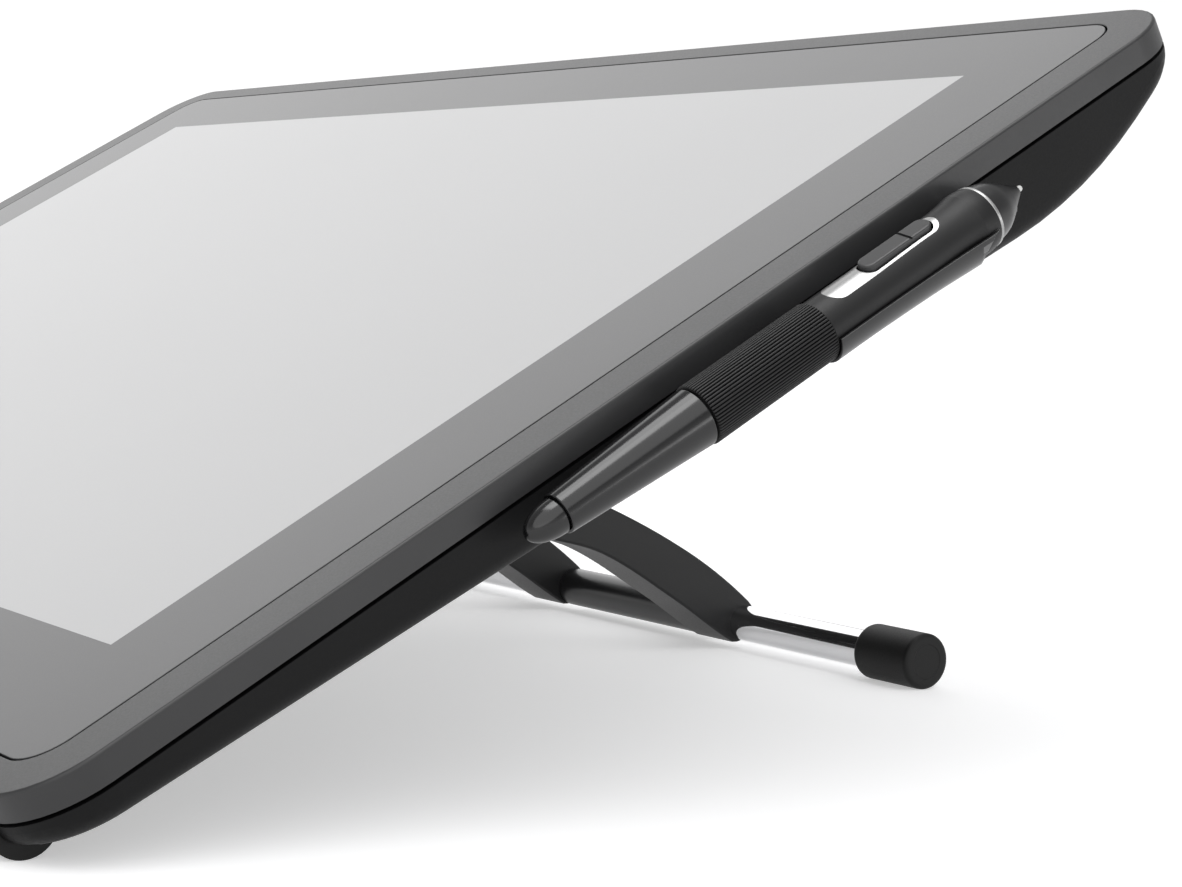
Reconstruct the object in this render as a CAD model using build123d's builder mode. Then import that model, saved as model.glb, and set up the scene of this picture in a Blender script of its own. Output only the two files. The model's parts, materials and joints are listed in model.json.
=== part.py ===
from build123d import *
import os
from math import acos, asin, atan2, cos, degrees, hypot, radians, sin

# A pen display on a folding stand, with its pen in a holder on the right-hand side.
# Millimetres. X runs to the user's right, Y away from the user and Z up from the table.
# The body is drawn in its own directions: u to the right, v up the screen and w out of it,
# counted from the middle of the picture on the outer face of the glass.

os.makedirs("parts", exist_ok=True)

# ---- overall
tilt = 31.0
body_width = 569.2
body_bottom = -180.0
body_top = 169.4
corner_radius = 20.0
wall = 2.2

# ---- glass and front frame
active_width = 476.0
active_height = 268.0
glass_width = 540.0
glass_bottom = -169.3
glass_top = 160.7
glass_radius = 10.0
glass_thickness = 1.1
glass_gap = 0.35
gasket_thickness = 0.4
gasket_width = 8.0
frame_wall = 2.0
frame_ledge = 1.5
frame_depth = 6.7
frame_edge = 0.7
reveal = 0.9

# ---- layers behind the glass
panel_border = 9.0
panel_thickness = 1.4
sheet_thickness = 0.5
guide_thickness = 2.2
tray_wall = 0.8
led_depth = 2.4
sensor_thickness = 0.8
shield_thickness = 0.3
chassis_thickness = 1.2
chassis_height = 320.0
chassis_mid_v = -12.0
chassis_corner = 10.0
layer_gap = 0.3

# ---- rear cover
back_bottom_w = -14.0
back_slope = 0.0458
crown_start_v = 96.0
crown_end_v = 143.0
crown_end_w = -19.35
brow_end_v = 172.0
brow_end_w = -7.4
back_edge_radius = 5.0
tongue_height = 2.6
tongue_gap = 0.15
tongue_thickness = 1.2
vent_v = 118.0
vent_length = 14.0
vent_width = 2.2
vent_pitch = 6.0
vent_count = 22
vent_start_u = (-200.0, 40.0)

# ---- mount pad and stand base
pad_w = -18.6
pad_centre_v = -6.0
pad_width = 136.0
pad_height = 124.0
vesa_pitch = 100.0
vesa_hole_radius = 2.1
nut_radius = 4.0
nut_height = 5.0
base_half_width = 39.5
base_bottom_v = -42.0
base_top_v = 30.0
base_thickness = 3.5
ear_thickness = 12.0
ear_radius = 11.0
base_screw_u = 19.0
base_screw_v = (-32.0, 21.0)
base_screw_radius = 2.0
base_screw_head_radius = 3.4
base_screw_head_height = 2.0

# ---- stand hinge and legs
hinge_v = -5.0
hinge_w = -35.0
shaft_radius = 5.0
shaft_half_length = 62.5
bush_wall = 1.5
running_gap = 0.05
leg_inner_u = 40.5
leg_thickness = 21.0
leg_hub_radius = 15.5
arm_length = 186.5
leg_back = (arm_length - 74.5, 16.9)
leg_crest = (arm_length - 34.5, 14.7)
leg_nose = (arm_length - 1.0, 7.4)
leg_tip = (arm_length - 1.5, -7.4)
leg_hollow = ((arm_length - 28.5, -2.4), (arm_length - 62.5, 2.2))
leg_sole = (arm_length - 86.5, -0.8)
washer_thickness = 0.6
washer_rim = 4.0
bridge_s = 44.0
bridge_radius = 5.0
tube_radius = 5.87
tube_wall = 1.0
tube_half_length = 136.0
sleeve_radius = 6.6
cap_radius = 8.6
cap_overlap = 8.0
cap_length = 25.0
cap_inner_u = tube_half_length - cap_overlap
cap_edge = 1.6

# ---- ratchet and release lever
ratchet_radius = 11.0
ratchet_tooth = 1.0
ratchet_teeth = 20
ratchet_half_width = 3.5
lever_pin_v = 9.6
lever_pin_w = -26.4
lever_pin_radius = 1.5
lever_hub_radius = 2.8
lever_thickness = 2.6
lever_neck_half = 3.5
lever_paddle_half = 15.0
lever_reach_v = 46.0
lug_inner_u = 8.0
lug_thickness = 4.0
pawl_width = 2.4
pawl_gap = 0.3

# ---- front feet
foot_radius = 7.6
foot_v = -174.6
foot_w = -10.6
foot_length = 52.0
foot_u = 240.0

# ---- ports, boards and buttons
bay_left = 95.0
bay_right = 215.0
bay_bottom = 20.0
bay_top = 75.0
bay_floor = -12.5
cover_gap = 0.3
port_cover_thickness = 2.0
cable_notch = 8.0
notch_width = 30.0
board_w = -13.8
board_thickness = 1.6
board_left = -60.0
board_right = 232.0
board_bottom = 80.0
board_top = 126.0
chip_places = ((20.0, 104.0), (64.0, 104.0))
chip_size = 22.0
chip_height = 1.2
spreader_width = 78.0
spreader_height = 36.0
spreader_thickness = 1.0
panel_board_width = 300.0
panel_board_height = 14.0
panel_board_thickness = 1.0
panel_board_v = -126.0
flex_places = ((-46.0, -19.0), (-26.0, -19.0))
flex_width = 14.0
flex_length = 200.0
flex_thickness = 0.3
video_u = 118.0
usb_u = 148.0
jack_u = 184.0
jack_bore_radius = 2.9
jack_depth = 9.5
button_u = 250.0
button_v = 84.0
button_radius = 5.5
button_travel = 0.8
button_gap = 0.25
press_switch_size = 6.0
press_switch_height = 3.4
light_offset_u = -17.0
light_radius = 1.25

# ---- pen
pen_side_gap = 0.25
pen_w = -11.1
pen_tail_v = -62.5
ring_v = 77.4
nose_step_v = 86.2
nose_end_v = 91.0
nib_end_v = 92.8
nib_rear_v = 64.2
sleeve_front_v = 24.0
sleeve_rear_v = -13.0
tail_end_v = -53.4
barrel_rear_radius = 6.9
barrel_front_radius = 8.15
barrel_waist_radius = 7.4
ring_radius = 7.85
nose_base_radius = 7.55
nose_mid_radius = 6.55
nose_mid_v = 82.2
nose_step_radius = 4.45
nose_neck_radius = 4.15
nose_end_radius = 1.35
rib_radius = 7.3
rib_depth = 0.45
rib_count = 60
rib_width = 0.34
tail_front_radius = 7.0
tail_rear_radius = 4.75
tail_core_radius = 4.1
eraser_radius = 4.2
eraser_stem_radius = 3.8
eraser_gap = 0.6
eraser_curve = ((3.62, -58.25), (2.38, -61.0))
nib_radius = 0.75
pen_bore = 4.6
core_radius = 2.4
core_rear_v = -40.0
core_length = 98.0
core_board_width = 7.0
core_board_length = 92.0
coil_rear_v = 64.0
coil_length = 12.0
coil_radius = 4.2
coil_bore = 1.6
switch_rear_v = 40.2
switch_front_v = 62.2
switch_half_width = 2.4
switch_angle = 75.0
switch_floor = 5.4
switch_lift = 0.6
switch_top = 8.15
switch_edge = 0.5
plate_rear_v = 28.6
plate_front_v = 64.2
plate_half_width = 3.5

# ---- pen holder
holder_gap = 0.35
holder_wall = 0.75
holder_front_v = 92.9
holder_start_angle = -12.0
holder_span = 136.0
holder_slant = (0.61, 0.37, -0.70)
tab_bottom_v = 38.0
tab_top_v = 70.0
tab_reach = 10.6
tab_w = -20.4
tab_thickness = 2.4
tab_gap = 0.3

# ---- directions and places worked out from the sizes above
slope_cos = cos(radians(tilt))
slope_sin = sin(radians(tilt))
half_width = body_width / 2
pen_u = half_width + barrel_front_radius + pen_side_gap
tab_inner_u = half_width - tab_reach
body_mid_v = (body_bottom + body_top) / 2
body_height = body_top - body_bottom
glass_mid_v = (glass_bottom + glass_top) / 2
glass_height = glass_top - glass_bottom


def height_of(v, w):
    return v * slope_sin + w * slope_cos


def reach_of(v, w):
    return v * slope_cos - w * slope_sin


table_drop = foot_radius - height_of(foot_v, foot_w)
arm_fall = table_drop + height_of(hinge_v, hinge_w) - cap_radius
arm_angle = tilt + degrees(asin(arm_fall / arm_length))
tube_v = hinge_v + arm_length * cos(radians(arm_angle))
tube_w = hinge_w - arm_length * sin(radians(arm_angle))
front_reach = reach_of(body_bottom, -frame_edge)
rear_reach = reach_of(tube_v, tube_w) + cap_radius
holder_outer_radius = barrel_front_radius + holder_gap + holder_wall
origin_x = -(pen_u + holder_outer_radius - half_width) / 2
origin_y = -(front_reach + rear_reach) / 2
origin_z = table_drop

right_way = Vector(1, 0, 0)
up_screen = Vector(0, slope_cos, slope_sin)
out_of_screen = Vector(0, -slope_sin, slope_cos)


def place(u, v, w):
    return Vector(origin_x + u, origin_y + reach_of(v, w), origin_z + height_of(v, w))


def screen(w, u=0.0, v=0.0):
    return Plane(origin=place(u, v, w), x_dir=right_way, z_dir=out_of_screen)


def side(u):
    return Plane(origin=place(u, 0, 0), x_dir=up_screen, z_dir=right_way)


def back_w(v):
    return back_bottom_w - back_slope * (v - body_bottom)


def finish(part, name):
    part.label = name
    export_step(part, "parts/" + name + ".step")


rim_w = -frame_depth - reveal
deep = 60.0
overrun = 12.0


def plan_size(inset):
    return body_width - 2 * inset, body_height - 2 * inset, corner_radius - inset


def back_profile(inset):
    low = body_bottom - overrun
    high = body_top + overrun
    with BuildSketch(side(0)) as sketch:
        with BuildLine():
            flat = Line((low, back_w(low) + inset), (crown_start_v, back_w(crown_start_v) + inset))
            crown = TangentArc(flat @ 1, (crown_end_v, crown_end_w + inset), tangent=flat % 1)
            brow = TangentArc(crown @ 1, (brow_end_v, brow_end_w + inset), tangent=crown % 1)
            Polyline(brow @ 1, (high, brow_end_w + inset), (high, overrun), (low, overrun), flat @ 0)
        make_face()
    return sketch.sketch


def across(edge):
    return abs(edge.tangent_at(0.5).dot(out_of_screen)) < 0.8


def below_rim(edge):
    return (edge.center() - place(0, 0, rim_w)).dot(out_of_screen) < -0.5


def on_outside(edge):
    sideways = abs(edge.center().X - origin_x)
    along = (edge.center() - place(0, 0, 0)).dot(up_screen)
    return sideways > half_width - corner_radius or along < body_bottom + 1 or along > body_top - 1


# The outside of the rear cover as one block, which the shell and the feet are cut from.
with BuildPart() as cover_block:
    extrude(back_profile(0), amount=half_width + overrun, both=True)
    with BuildSketch(screen(rim_w, v=body_mid_v)):
        RectangleRounded(*plan_size(0))
    extrude(amount=-deep, mode=Mode.INTERSECT)
    back_edges = [e for e in cover_block.edges() if across(e) and below_rim(e) and on_outside(e)]
    fillet(back_edges, back_edge_radius)
with BuildPart() as cavity_block:
    extrude(back_profile(wall), amount=half_width + overrun, both=True)
    with BuildSketch(screen(rim_w, v=body_mid_v)):
        RectangleRounded(*plan_size(wall))
    extrude(amount=-deep, mode=Mode.INTERSECT)


# ---- front: glass, gasket and frame
glass_seat = -glass_thickness - gasket_thickness
ledge_w = glass_seat - frame_ledge
gasket_lap = 2.0
opening_width = glass_width - 2 * gasket_width - gasket_lap
opening_height = glass_height - 2 * gasket_width - gasket_lap
well_width = glass_width + 2 * glass_gap
well_height = glass_height + 2 * glass_gap

with BuildPart() as cover_glass:
    with BuildSketch(screen(-glass_thickness, v=glass_mid_v)):
        RectangleRounded(glass_width, glass_height, glass_radius)
    extrude(amount=glass_thickness)
finish(cover_glass.part, "cover_glass")

with BuildPart() as glass_gasket:
    with BuildSketch(screen(glass_seat, v=glass_mid_v)):
        RectangleRounded(glass_width, glass_height, glass_radius)
        RectangleRounded(opening_width + gasket_lap, opening_height + gasket_lap, 3, mode=Mode.SUBTRACT)
    extrude(amount=gasket_thickness)
finish(glass_gasket.part, "glass_gasket")

chassis_low = -(glass_thickness + panel_thickness + sheet_thickness + guide_thickness)
chassis_low -= tray_wall + sensor_thickness + shield_thickness + chassis_thickness
chassis_top = chassis_low + chassis_thickness
frame_boss_places = [(x * 270.0, v) for x in (-1, 1) for v in (-150.0, -50.0, 50.0, 138.0)]
frame_boss_places += [(u, -167.0) for u in (-190.0, -64.0, 64.0, 190.0)]
frame_boss_radius = 3.2
chassis_screw_radius = 1.0
chassis_head_radius = 2.2
chassis_head_height = 1.3
chassis_thread = 2.8
thread_depth = 3.0

with BuildPart() as front_frame:
    with BuildSketch(screen(-frame_depth, v=body_mid_v)):
        RectangleRounded(body_width, body_height, corner_radius)
    extrude(amount=frame_depth)
    face_middle = place(0, 0, 0)
    face_edges = [e for e in front_frame.edges() if (e.center() - face_middle).dot(out_of_screen) > -0.01]
    fillet(face_edges, frame_edge)
    with BuildSketch(screen(glass_seat, v=glass_mid_v)):
        RectangleRounded(well_width, well_height, glass_radius + glass_gap)
    extrude(amount=-glass_seat, mode=Mode.SUBTRACT)
    with BuildSketch(screen(-frame_depth, v=body_mid_v)):
        RectangleRounded(*plan_size(frame_wall))
    extrude(amount=frame_depth + ledge_w, mode=Mode.SUBTRACT)
    with BuildSketch(screen(ledge_w, v=glass_mid_v)):
        RectangleRounded(opening_width, opening_height, 4)
    extrude(amount=frame_ledge, mode=Mode.SUBTRACT)
    with BuildSketch(screen(chassis_top)):
        with Locations(*frame_boss_places):
            Circle(frame_boss_radius)
    extrude(amount=ledge_w - chassis_top)
    with BuildSketch(screen(chassis_top)):
        with Locations(*frame_boss_places):
            Circle(chassis_screw_radius)
    extrude(amount=thread_depth, mode=Mode.SUBTRACT)
finish(front_frame.part, "front_frame")

# ---- picture layers, from the glass inwards
panel_width = active_width + 2 * panel_border
panel_height = active_height + 2 * panel_border
guide_width = active_width + 8
guide_height = active_height + 8
sheet_width = guide_width + 2
sheet_height = guide_height + 2 * led_depth - 2
panel_w = -glass_thickness - panel_thickness
sheet_w = panel_w - sheet_thickness
guide_w = sheet_w - guide_thickness
tray_w = guide_w - tray_wall
sensor_w = tray_w - sensor_thickness
shield_w = sensor_w - shield_thickness

with BuildPart() as lcd_panel:
    with BuildSketch(screen(panel_w)):
        Rectangle(panel_width, panel_height)
    extrude(amount=panel_thickness)
finish(lcd_panel.part, "lcd_panel")

with BuildPart() as optical_sheets:
    with BuildSketch(screen(sheet_w)):
        Rectangle(sheet_width, sheet_height)
    extrude(amount=sheet_thickness)
finish(optical_sheets.part, "optical_sheets")

with BuildPart() as light_guide:
    with BuildSketch(screen(guide_w)):
        Rectangle(guide_width, guide_height)
    extrude(amount=guide_thickness)
finish(light_guide.part, "light_guide")

with BuildPart() as led_strip:
    with BuildSketch(screen(guide_w, v=-(guide_height + led_depth) / 2)):
        Rectangle(active_width, led_depth)
    extrude(amount=guide_thickness - layer_gap)
finish(led_strip.part, "led_strip")

tray_inner_width = sheet_width + 2 * layer_gap
tray_inner_height = guide_height + 2 * led_depth + 2 * layer_gap

with BuildPart() as backlight_tray:
    with BuildSketch(screen(tray_w)):
        Rectangle(tray_inner_width + 2 * tray_wall, tray_inner_height + 2 * tray_wall)
    extrude(amount=panel_w - tray_w)
    with BuildSketch(screen(guide_w)):
        Rectangle(tray_inner_width, tray_inner_height)
    extrude(amount=panel_w - guide_w, mode=Mode.SUBTRACT)
finish(backlight_tray.part, "backlight_tray")

with BuildPart() as pen_sensor_board:
    with BuildSketch(screen(sensor_w)):
        Rectangle(guide_width, guide_height)
    extrude(amount=sensor_thickness)
finish(pen_sensor_board.part, "pen_sensor_board")

with BuildPart() as sensor_shield:
    with BuildSketch(screen(shield_w)):
        Rectangle(guide_width, guide_height)
    extrude(amount=shield_thickness)
finish(sensor_shield.part, "sensor_shield")

# ---- chassis: a pressed plate with standoffs for the boards
chassis_half_width = half_width - corner_radius / 2
case_screw_places = [(-235.0, -140.0), (0.0, -150.0), (235.0, -140.0), (-235.0, 84.0)]
case_screw_places += [(-90.0, 96.0), (256.0, 20.0), (-256.0, -40.0), (256.0, -60.0)]
case_screw_radius = 1.4
standoff_radius = 3.0
board_screw_radius = 1.2
board_head_radius = 2.3
board_head_height = 1.4
board_thread = 2.6
screw_slack = 0.1
hole_margin = 5.0
board_mid_u = (board_left + board_right) / 2
board_mid_v = (board_bottom + board_top) / 2
board_half_u = (board_right - board_left) / 2 - hole_margin
board_half_v = (board_top - board_bottom) / 2 - hole_margin
board_hole_places = []
for x in (-1, 0, 1):
    for y in (-1, 1):
        board_hole_places.append((board_mid_u + x * board_half_u, board_mid_v + y * board_half_v))
button_board_half = 11.0
button_hole = 7.5
button_hole_places = []
for x in (-1, 1):
    for y in (-1, 1):
        button_hole_places.append((button_u + x * button_hole, button_v + y * button_hole))
board_face = board_w + board_thickness
all_standoffs = board_hole_places + button_hole_places

with BuildPart() as mid_chassis:
    with BuildSketch(screen(chassis_low, v=chassis_mid_v)):
        RectangleRounded(2 * chassis_half_width, chassis_height, chassis_corner)
    extrude(amount=chassis_thickness)
    with BuildSketch(screen(board_face)):
        with Locations(*all_standoffs):
            Circle(standoff_radius)
    extrude(amount=chassis_low - board_face)
    with BuildSketch(screen(board_face)):
        with Locations(*all_standoffs):
            Circle(board_screw_radius)
    extrude(amount=thread_depth, mode=Mode.SUBTRACT)
    with BuildSketch(screen(chassis_low)):
        with Locations(*frame_boss_places):
            Circle(chassis_screw_radius + screw_slack)
        with Locations(*case_screw_places):
            Circle(case_screw_radius)
    extrude(amount=chassis_thickness, mode=Mode.SUBTRACT)
finish(mid_chassis.part, "mid_chassis")

with BuildPart() as chassis_screws:
    with BuildSketch(screen(chassis_low)):
        with Locations(*frame_boss_places):
            Circle(chassis_head_radius)
    extrude(amount=-chassis_head_height)
    with BuildSketch(screen(chassis_low)):
        with Locations(*frame_boss_places):
            Circle(chassis_screw_radius)
    extrude(amount=chassis_thickness + chassis_thread)
finish(chassis_screws.part, "chassis_screws")

with BuildPart() as main_board:
    with BuildSketch(screen(board_w, u=board_mid_u, v=board_mid_v)):
        Rectangle(board_right - board_left, board_top - board_bottom)
    extrude(amount=board_thickness)
    with BuildSketch(screen(board_face)):
        with Locations(*chip_places):
            Rectangle(chip_size, chip_size)
    extrude(amount=chip_height)
    with BuildSketch(screen(board_w)):
        with Locations(*board_hole_places):
            Circle(board_screw_radius + screw_slack)
    extrude(amount=board_thickness, mode=Mode.SUBTRACT)
finish(main_board.part, "main_board")

chip_face = board_face + chip_height
spreader_w = chassis_low - spreader_thickness
chip_mid_u = (chip_places[0][0] + chip_places[1][0]) / 2
chip_mid_v = chip_places[0][1]

with BuildPart() as heat_spreader:
    with BuildSketch(screen(chip_face)):
        with Locations(*chip_places):
            Rectangle(chip_size - 2, chip_size - 2)
    extrude(amount=spreader_w - chip_face)
    with BuildSketch(screen(spreader_w, u=chip_mid_u, v=chip_mid_v)):
        Rectangle(spreader_width, spreader_height)
    extrude(amount=spreader_thickness)
finish(heat_spreader.part, "heat_spreader")

with BuildPart() as panel_board:
    with BuildSketch(screen(chassis_low - panel_board_thickness, v=panel_board_v)):
        Rectangle(panel_board_width, panel_board_height)
    extrude(amount=panel_board_thickness)
finish(panel_board.part, "panel_board")

with BuildPart() as flex_cables:
    with BuildSketch(screen(chassis_low - flex_thickness)):
        with Locations(*flex_places):
            Rectangle(flex_width, flex_length)
    extrude(amount=flex_thickness)
finish(flex_cables.part, "flex_cables")

with BuildPart() as button_board:
    with BuildSketch(screen(board_w, u=button_u, v=button_v)):
        Rectangle(2 * button_board_half, 2 * button_board_half)
    extrude(amount=board_thickness)
    with BuildSketch(screen(board_w, u=button_u, v=button_v)):
        Rectangle(press_switch_size, press_switch_size)
    extrude(amount=-press_switch_height)
    with BuildSketch(screen(board_w)):
        with Locations(*button_hole_places):
            Circle(board_screw_radius + screw_slack)
    extrude(amount=board_thickness, mode=Mode.SUBTRACT)
finish(button_board.part, "button_board")

with BuildPart() as board_screws:
    with BuildSketch(screen(board_w)):
        with Locations(*all_standoffs):
            Circle(board_head_radius)
    extrude(amount=-board_head_height)
    with BuildSketch(screen(board_w)):
        with Locations(*all_standoffs):
            Circle(board_screw_radius)
    extrude(amount=board_thickness + board_thread)
finish(board_screws.part, "board_screws")

# ---- sockets on the lower edge of the main board, opening into the port bay
socket_front_v = bay_top + 0.4
bay_wall = 2.0


def bay_side(v, u, w):
    return Plane(origin=place(u, v, w), x_dir=right_way, z_dir=up_screen)


video_width = 15.0
video_height = 5.4
video_length = 11.0
video_shell = 0.5
video_tongue = (11.0, 0.8)
usb_width = 9.2
usb_height = 3.4
usb_length = 9.0
usb_shell = 0.45
usb_tongue = (6.6, 0.7)
jack_width = 9.0
jack_length = 13.0
jack_pin_radius = 0.9
socket_clearance = 0.3
socket_back = 1.5
tongue_set_back = 1.0
video_w = board_w - video_height / 2
usb_w = board_w - usb_height / 2
jack_w = board_w - jack_width / 2
sockets = (
    (video_u, video_w, video_width, video_height),
    (usb_u, usb_w, usb_width, usb_height),
    (jack_u, jack_w, jack_width, jack_width),
)

with BuildPart() as video_port:
    with BuildSketch(bay_side(socket_front_v, video_u, video_w)):
        RectangleRounded(video_width, video_height, 0.8)
    extrude(amount=video_length)
    with BuildSketch(bay_side(socket_front_v, video_u, video_w)):
        RectangleRounded(video_width - 2 * video_shell, video_height - 2 * video_shell, 0.5)
    extrude(amount=video_length - socket_back, mode=Mode.SUBTRACT)
    with BuildSketch(bay_side(socket_front_v + tongue_set_back, video_u, video_w)):
        Rectangle(*video_tongue)
    extrude(amount=video_length - socket_back - 0.5)
finish(video_port.part, "video_port")

with BuildPart() as usb_port:
    with BuildSketch(bay_side(socket_front_v, usb_u, usb_w)):
        RectangleRounded(usb_width, usb_height, 1.6)
    extrude(amount=usb_length)
    with BuildSketch(bay_side(socket_front_v, usb_u, usb_w)):
        RectangleRounded(usb_width - 2 * usb_shell, usb_height - 2 * usb_shell, 1.2)
    extrude(amount=usb_length - socket_back, mode=Mode.SUBTRACT)
    with BuildSketch(bay_side(socket_front_v + tongue_set_back, usb_u, usb_w)):
        Rectangle(*usb_tongue)
    extrude(amount=usb_length - socket_back - 0.5)
finish(usb_port.part, "usb_port")

with BuildPart() as power_jack:
    with BuildSketch(bay_side(socket_front_v, jack_u, jack_w)):
        RectangleRounded(jack_width, jack_width, 1.0)
    extrude(amount=jack_length)
    with BuildSketch(bay_side(socket_front_v, jack_u, jack_w)):
        Circle(jack_bore_radius)
    extrude(amount=jack_depth, mode=Mode.SUBTRACT)
    with BuildSketch(bay_side(socket_front_v + tongue_set_back, jack_u, jack_w)):
        Circle(jack_pin_radius)
    extrude(amount=jack_depth - 0.5)
finish(power_jack.part, "power_jack")

# ---- rear cover
boss_radius = 4.0
screw_head_radius = 2.8
screw_head_height = 1.8
case_seat_drop = 3.4
button_face_w = back_w(button_v)
inner_back_w = button_face_w + wall
vent_places = [(start_u + i * vent_pitch, vent_v) for start_u in vent_start_u for i in range(vent_count)]
tongue_inset = frame_wall + tongue_gap
bay_mid_u = (bay_left + bay_right) / 2
bay_mid_v = (bay_bottom + bay_top) / 2
bay_width = bay_right - bay_left
bay_height = bay_top - bay_bottom
vesa_places = [(x * vesa_pitch / 2, pad_centre_v + y * vesa_pitch / 2) for x in (-1, 1) for y in (-1, 1)]
base_screw_places = [(x * base_screw_u, v) for x in (-1, 1) for v in base_screw_v]

with BuildPart() as cover_ribs:
    with BuildSketch(screen(pad_w + wall, v=pad_centre_v)):
        Rectangle(pad_width + 2 * wall, pad_height + 2 * wall)
    extrude(amount=-deep)
    with BuildSketch(screen(bay_floor + bay_wall, u=bay_mid_u, v=bay_mid_v)):
        Rectangle(bay_width + 2 * bay_wall, bay_height + 2 * bay_wall)
    extrude(amount=-deep)
    with BuildSketch(screen(chassis_low - 0.1)):
        with Locations(*case_screw_places):
            Circle(boss_radius)
    extrude(amount=-deep)
    with BuildSketch(screen(pad_w + nut_height + wall)):
        with Locations(*vesa_places):
            Circle(nut_radius + wall)
    extrude(amount=-nut_height - 2 * wall)
    with BuildSketch(screen(rim_w, v=body_mid_v)):
        RectangleRounded(*plan_size(tongue_inset - 1.0))
        RectangleRounded(*plan_size(tongue_inset + tongue_thickness), mode=Mode.SUBTRACT)
    extrude(amount=-3.0)
    add(cover_block.part, mode=Mode.INTERSECT)
slot_low = tab_w - tab_gap
slot_height = tab_thickness + 2 * tab_gap
slot_bottom_v = tab_bottom_v - tab_gap
slot_top_v = tab_top_v + tab_gap
slot_depth = half_width - tab_inner_u + tab_gap
slot_mid_v = (slot_bottom_v + slot_top_v) / 2
slot_mid_w = slot_low + slot_height / 2
vent_w = -18.0

with BuildPart() as rear_cover:
    add(cover_block.part)
    add(cavity_block.part, mode=Mode.SUBTRACT)
    add(cover_ribs.part)
    with BuildSketch(screen(rim_w, v=body_mid_v)):
        RectangleRounded(*plan_size(tongue_inset))
        RectangleRounded(*plan_size(tongue_inset + tongue_thickness), mode=Mode.SUBTRACT)
    extrude(amount=reveal + tongue_height)
    with BuildSketch(screen(pad_w, v=pad_centre_v)):
        RectangleRounded(pad_width, pad_height, 4)
    extrude(amount=-deep, mode=Mode.SUBTRACT)
    with BuildSketch(screen(pad_w)):
        with Locations(*vesa_places):
            Circle(vesa_hole_radius)
    extrude(amount=nut_height + 3 * wall, mode=Mode.SUBTRACT)
    with BuildSketch(screen(pad_w + wall)):
        with Locations(*vesa_places):
            Circle(nut_radius)
    extrude(amount=nut_height + 2 * wall, mode=Mode.SUBTRACT)
    with BuildSketch(screen(pad_w)):
        with Locations(*base_screw_places):
            Circle(base_screw_radius)
    extrude(amount=wall, mode=Mode.SUBTRACT)
    with BuildSketch(screen(bay_floor, u=bay_mid_u, v=bay_mid_v)):
        Rectangle(bay_width, bay_height)
    extrude(amount=-deep, mode=Mode.SUBTRACT)
    for socket_u, socket_w, width, height in sockets:
        with BuildSketch(bay_side(bay_top - 1, socket_u, socket_w)):
            Rectangle(width + 2 * socket_clearance, height + 2 * socket_clearance)
        extrude(amount=bay_wall + 2, mode=Mode.SUBTRACT)
    for u, v in case_screw_places:
        with BuildSketch(screen(back_w(v) + case_seat_drop, u, v)):
            Circle(screw_head_radius + 0.3)
        extrude(amount=-deep, mode=Mode.SUBTRACT)
        with BuildSketch(screen(chassis_low, u, v)):
            Circle(case_screw_radius + 0.15)
        extrude(amount=-deep, mode=Mode.SUBTRACT)
    with BuildSketch(screen(inner_back_w + 1, button_u, button_v)):
        Circle(button_radius + button_gap)
        with Locations((light_offset_u, 0)):
            Circle(light_radius + 0.05)
    extrude(amount=-deep, mode=Mode.SUBTRACT)
    for x in (-1, 1):
        slot_start = place(x * (half_width - slot_depth), slot_mid_v, slot_mid_w)
        with BuildSketch(Plane(origin=slot_start, x_dir=up_screen, z_dir=right_way * x)):
            Rectangle(slot_top_v - slot_bottom_v, slot_height)
        extrude(amount=slot_depth + 5, mode=Mode.SUBTRACT)
    with BuildSketch(screen(vent_w)):
        with Locations(*vent_places):
            SlotOverall(vent_length, vent_width, rotation=90)
    extrude(amount=-deep, mode=Mode.SUBTRACT)
finish(rear_cover.part, "rear_cover")

with BuildPart() as mount_nuts:
    with BuildSketch(screen(pad_w + wall)):
        with Locations(*vesa_places):
            Circle(nut_radius)
            Circle(vesa_hole_radius, mode=Mode.SUBTRACT)
    extrude(amount=nut_height)
finish(mount_nuts.part, "mount_nuts")

with BuildPart() as case_screws:
    for u, v in case_screw_places:
        with BuildSketch(screen(back_w(v) + case_seat_drop, u, v)):
            Circle(screw_head_radius)
        extrude(amount=-screw_head_height)
        with BuildSketch(screen(back_w(v) + case_seat_drop, u, v)):
            Circle(case_screw_radius)
        extrude(amount=chassis_low + 1.0 - back_w(v) - case_seat_drop)
finish(case_screws.part, "case_screws")

with BuildPart() as front_feet:
    for x in (-1, 1):
        with BuildSketch(side(x * foot_u)):
            with Locations((foot_v, foot_w)):
                Circle(foot_radius)
            with Locations((foot_v, rim_w + deep / 2 - 0.4)):
                Rectangle(4 * foot_radius, deep, mode=Mode.SUBTRACT)
        extrude(amount=foot_length / 2, both=True)
    add(cover_block.part, mode=Mode.SUBTRACT)
finish(front_feet.part, "front_feet")

with BuildPart() as left_socket_plug:
    plug_start = place(-half_width, slot_mid_v, slot_mid_w)
    with BuildSketch(Plane(origin=plug_start, x_dir=up_screen, z_dir=right_way)):
        Rectangle(slot_top_v - slot_bottom_v, slot_height)
    extrude(amount=slot_depth - 1)
finish(left_socket_plug.part, "left_socket_plug")

flange_w = inner_back_w + button_travel
button_proud = 0.3
flange_lip = 1.4
flange_thickness = 1.0
plunger_radius = 1.5

with BuildPart() as power_button:
    with BuildSketch(screen(button_face_w + button_proud, button_u, button_v)):
        Circle(button_radius)
    extrude(amount=flange_w - button_face_w - button_proud)
    with BuildSketch(screen(flange_w, button_u, button_v)):
        Circle(button_radius + flange_lip)
    extrude(amount=flange_thickness)
    with BuildSketch(screen(flange_w, button_u, button_v)):
        Circle(plunger_radius)
    extrude(amount=board_w - press_switch_height - button_travel - layer_gap - flange_w)
finish(power_button.part, "power_button")

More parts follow.
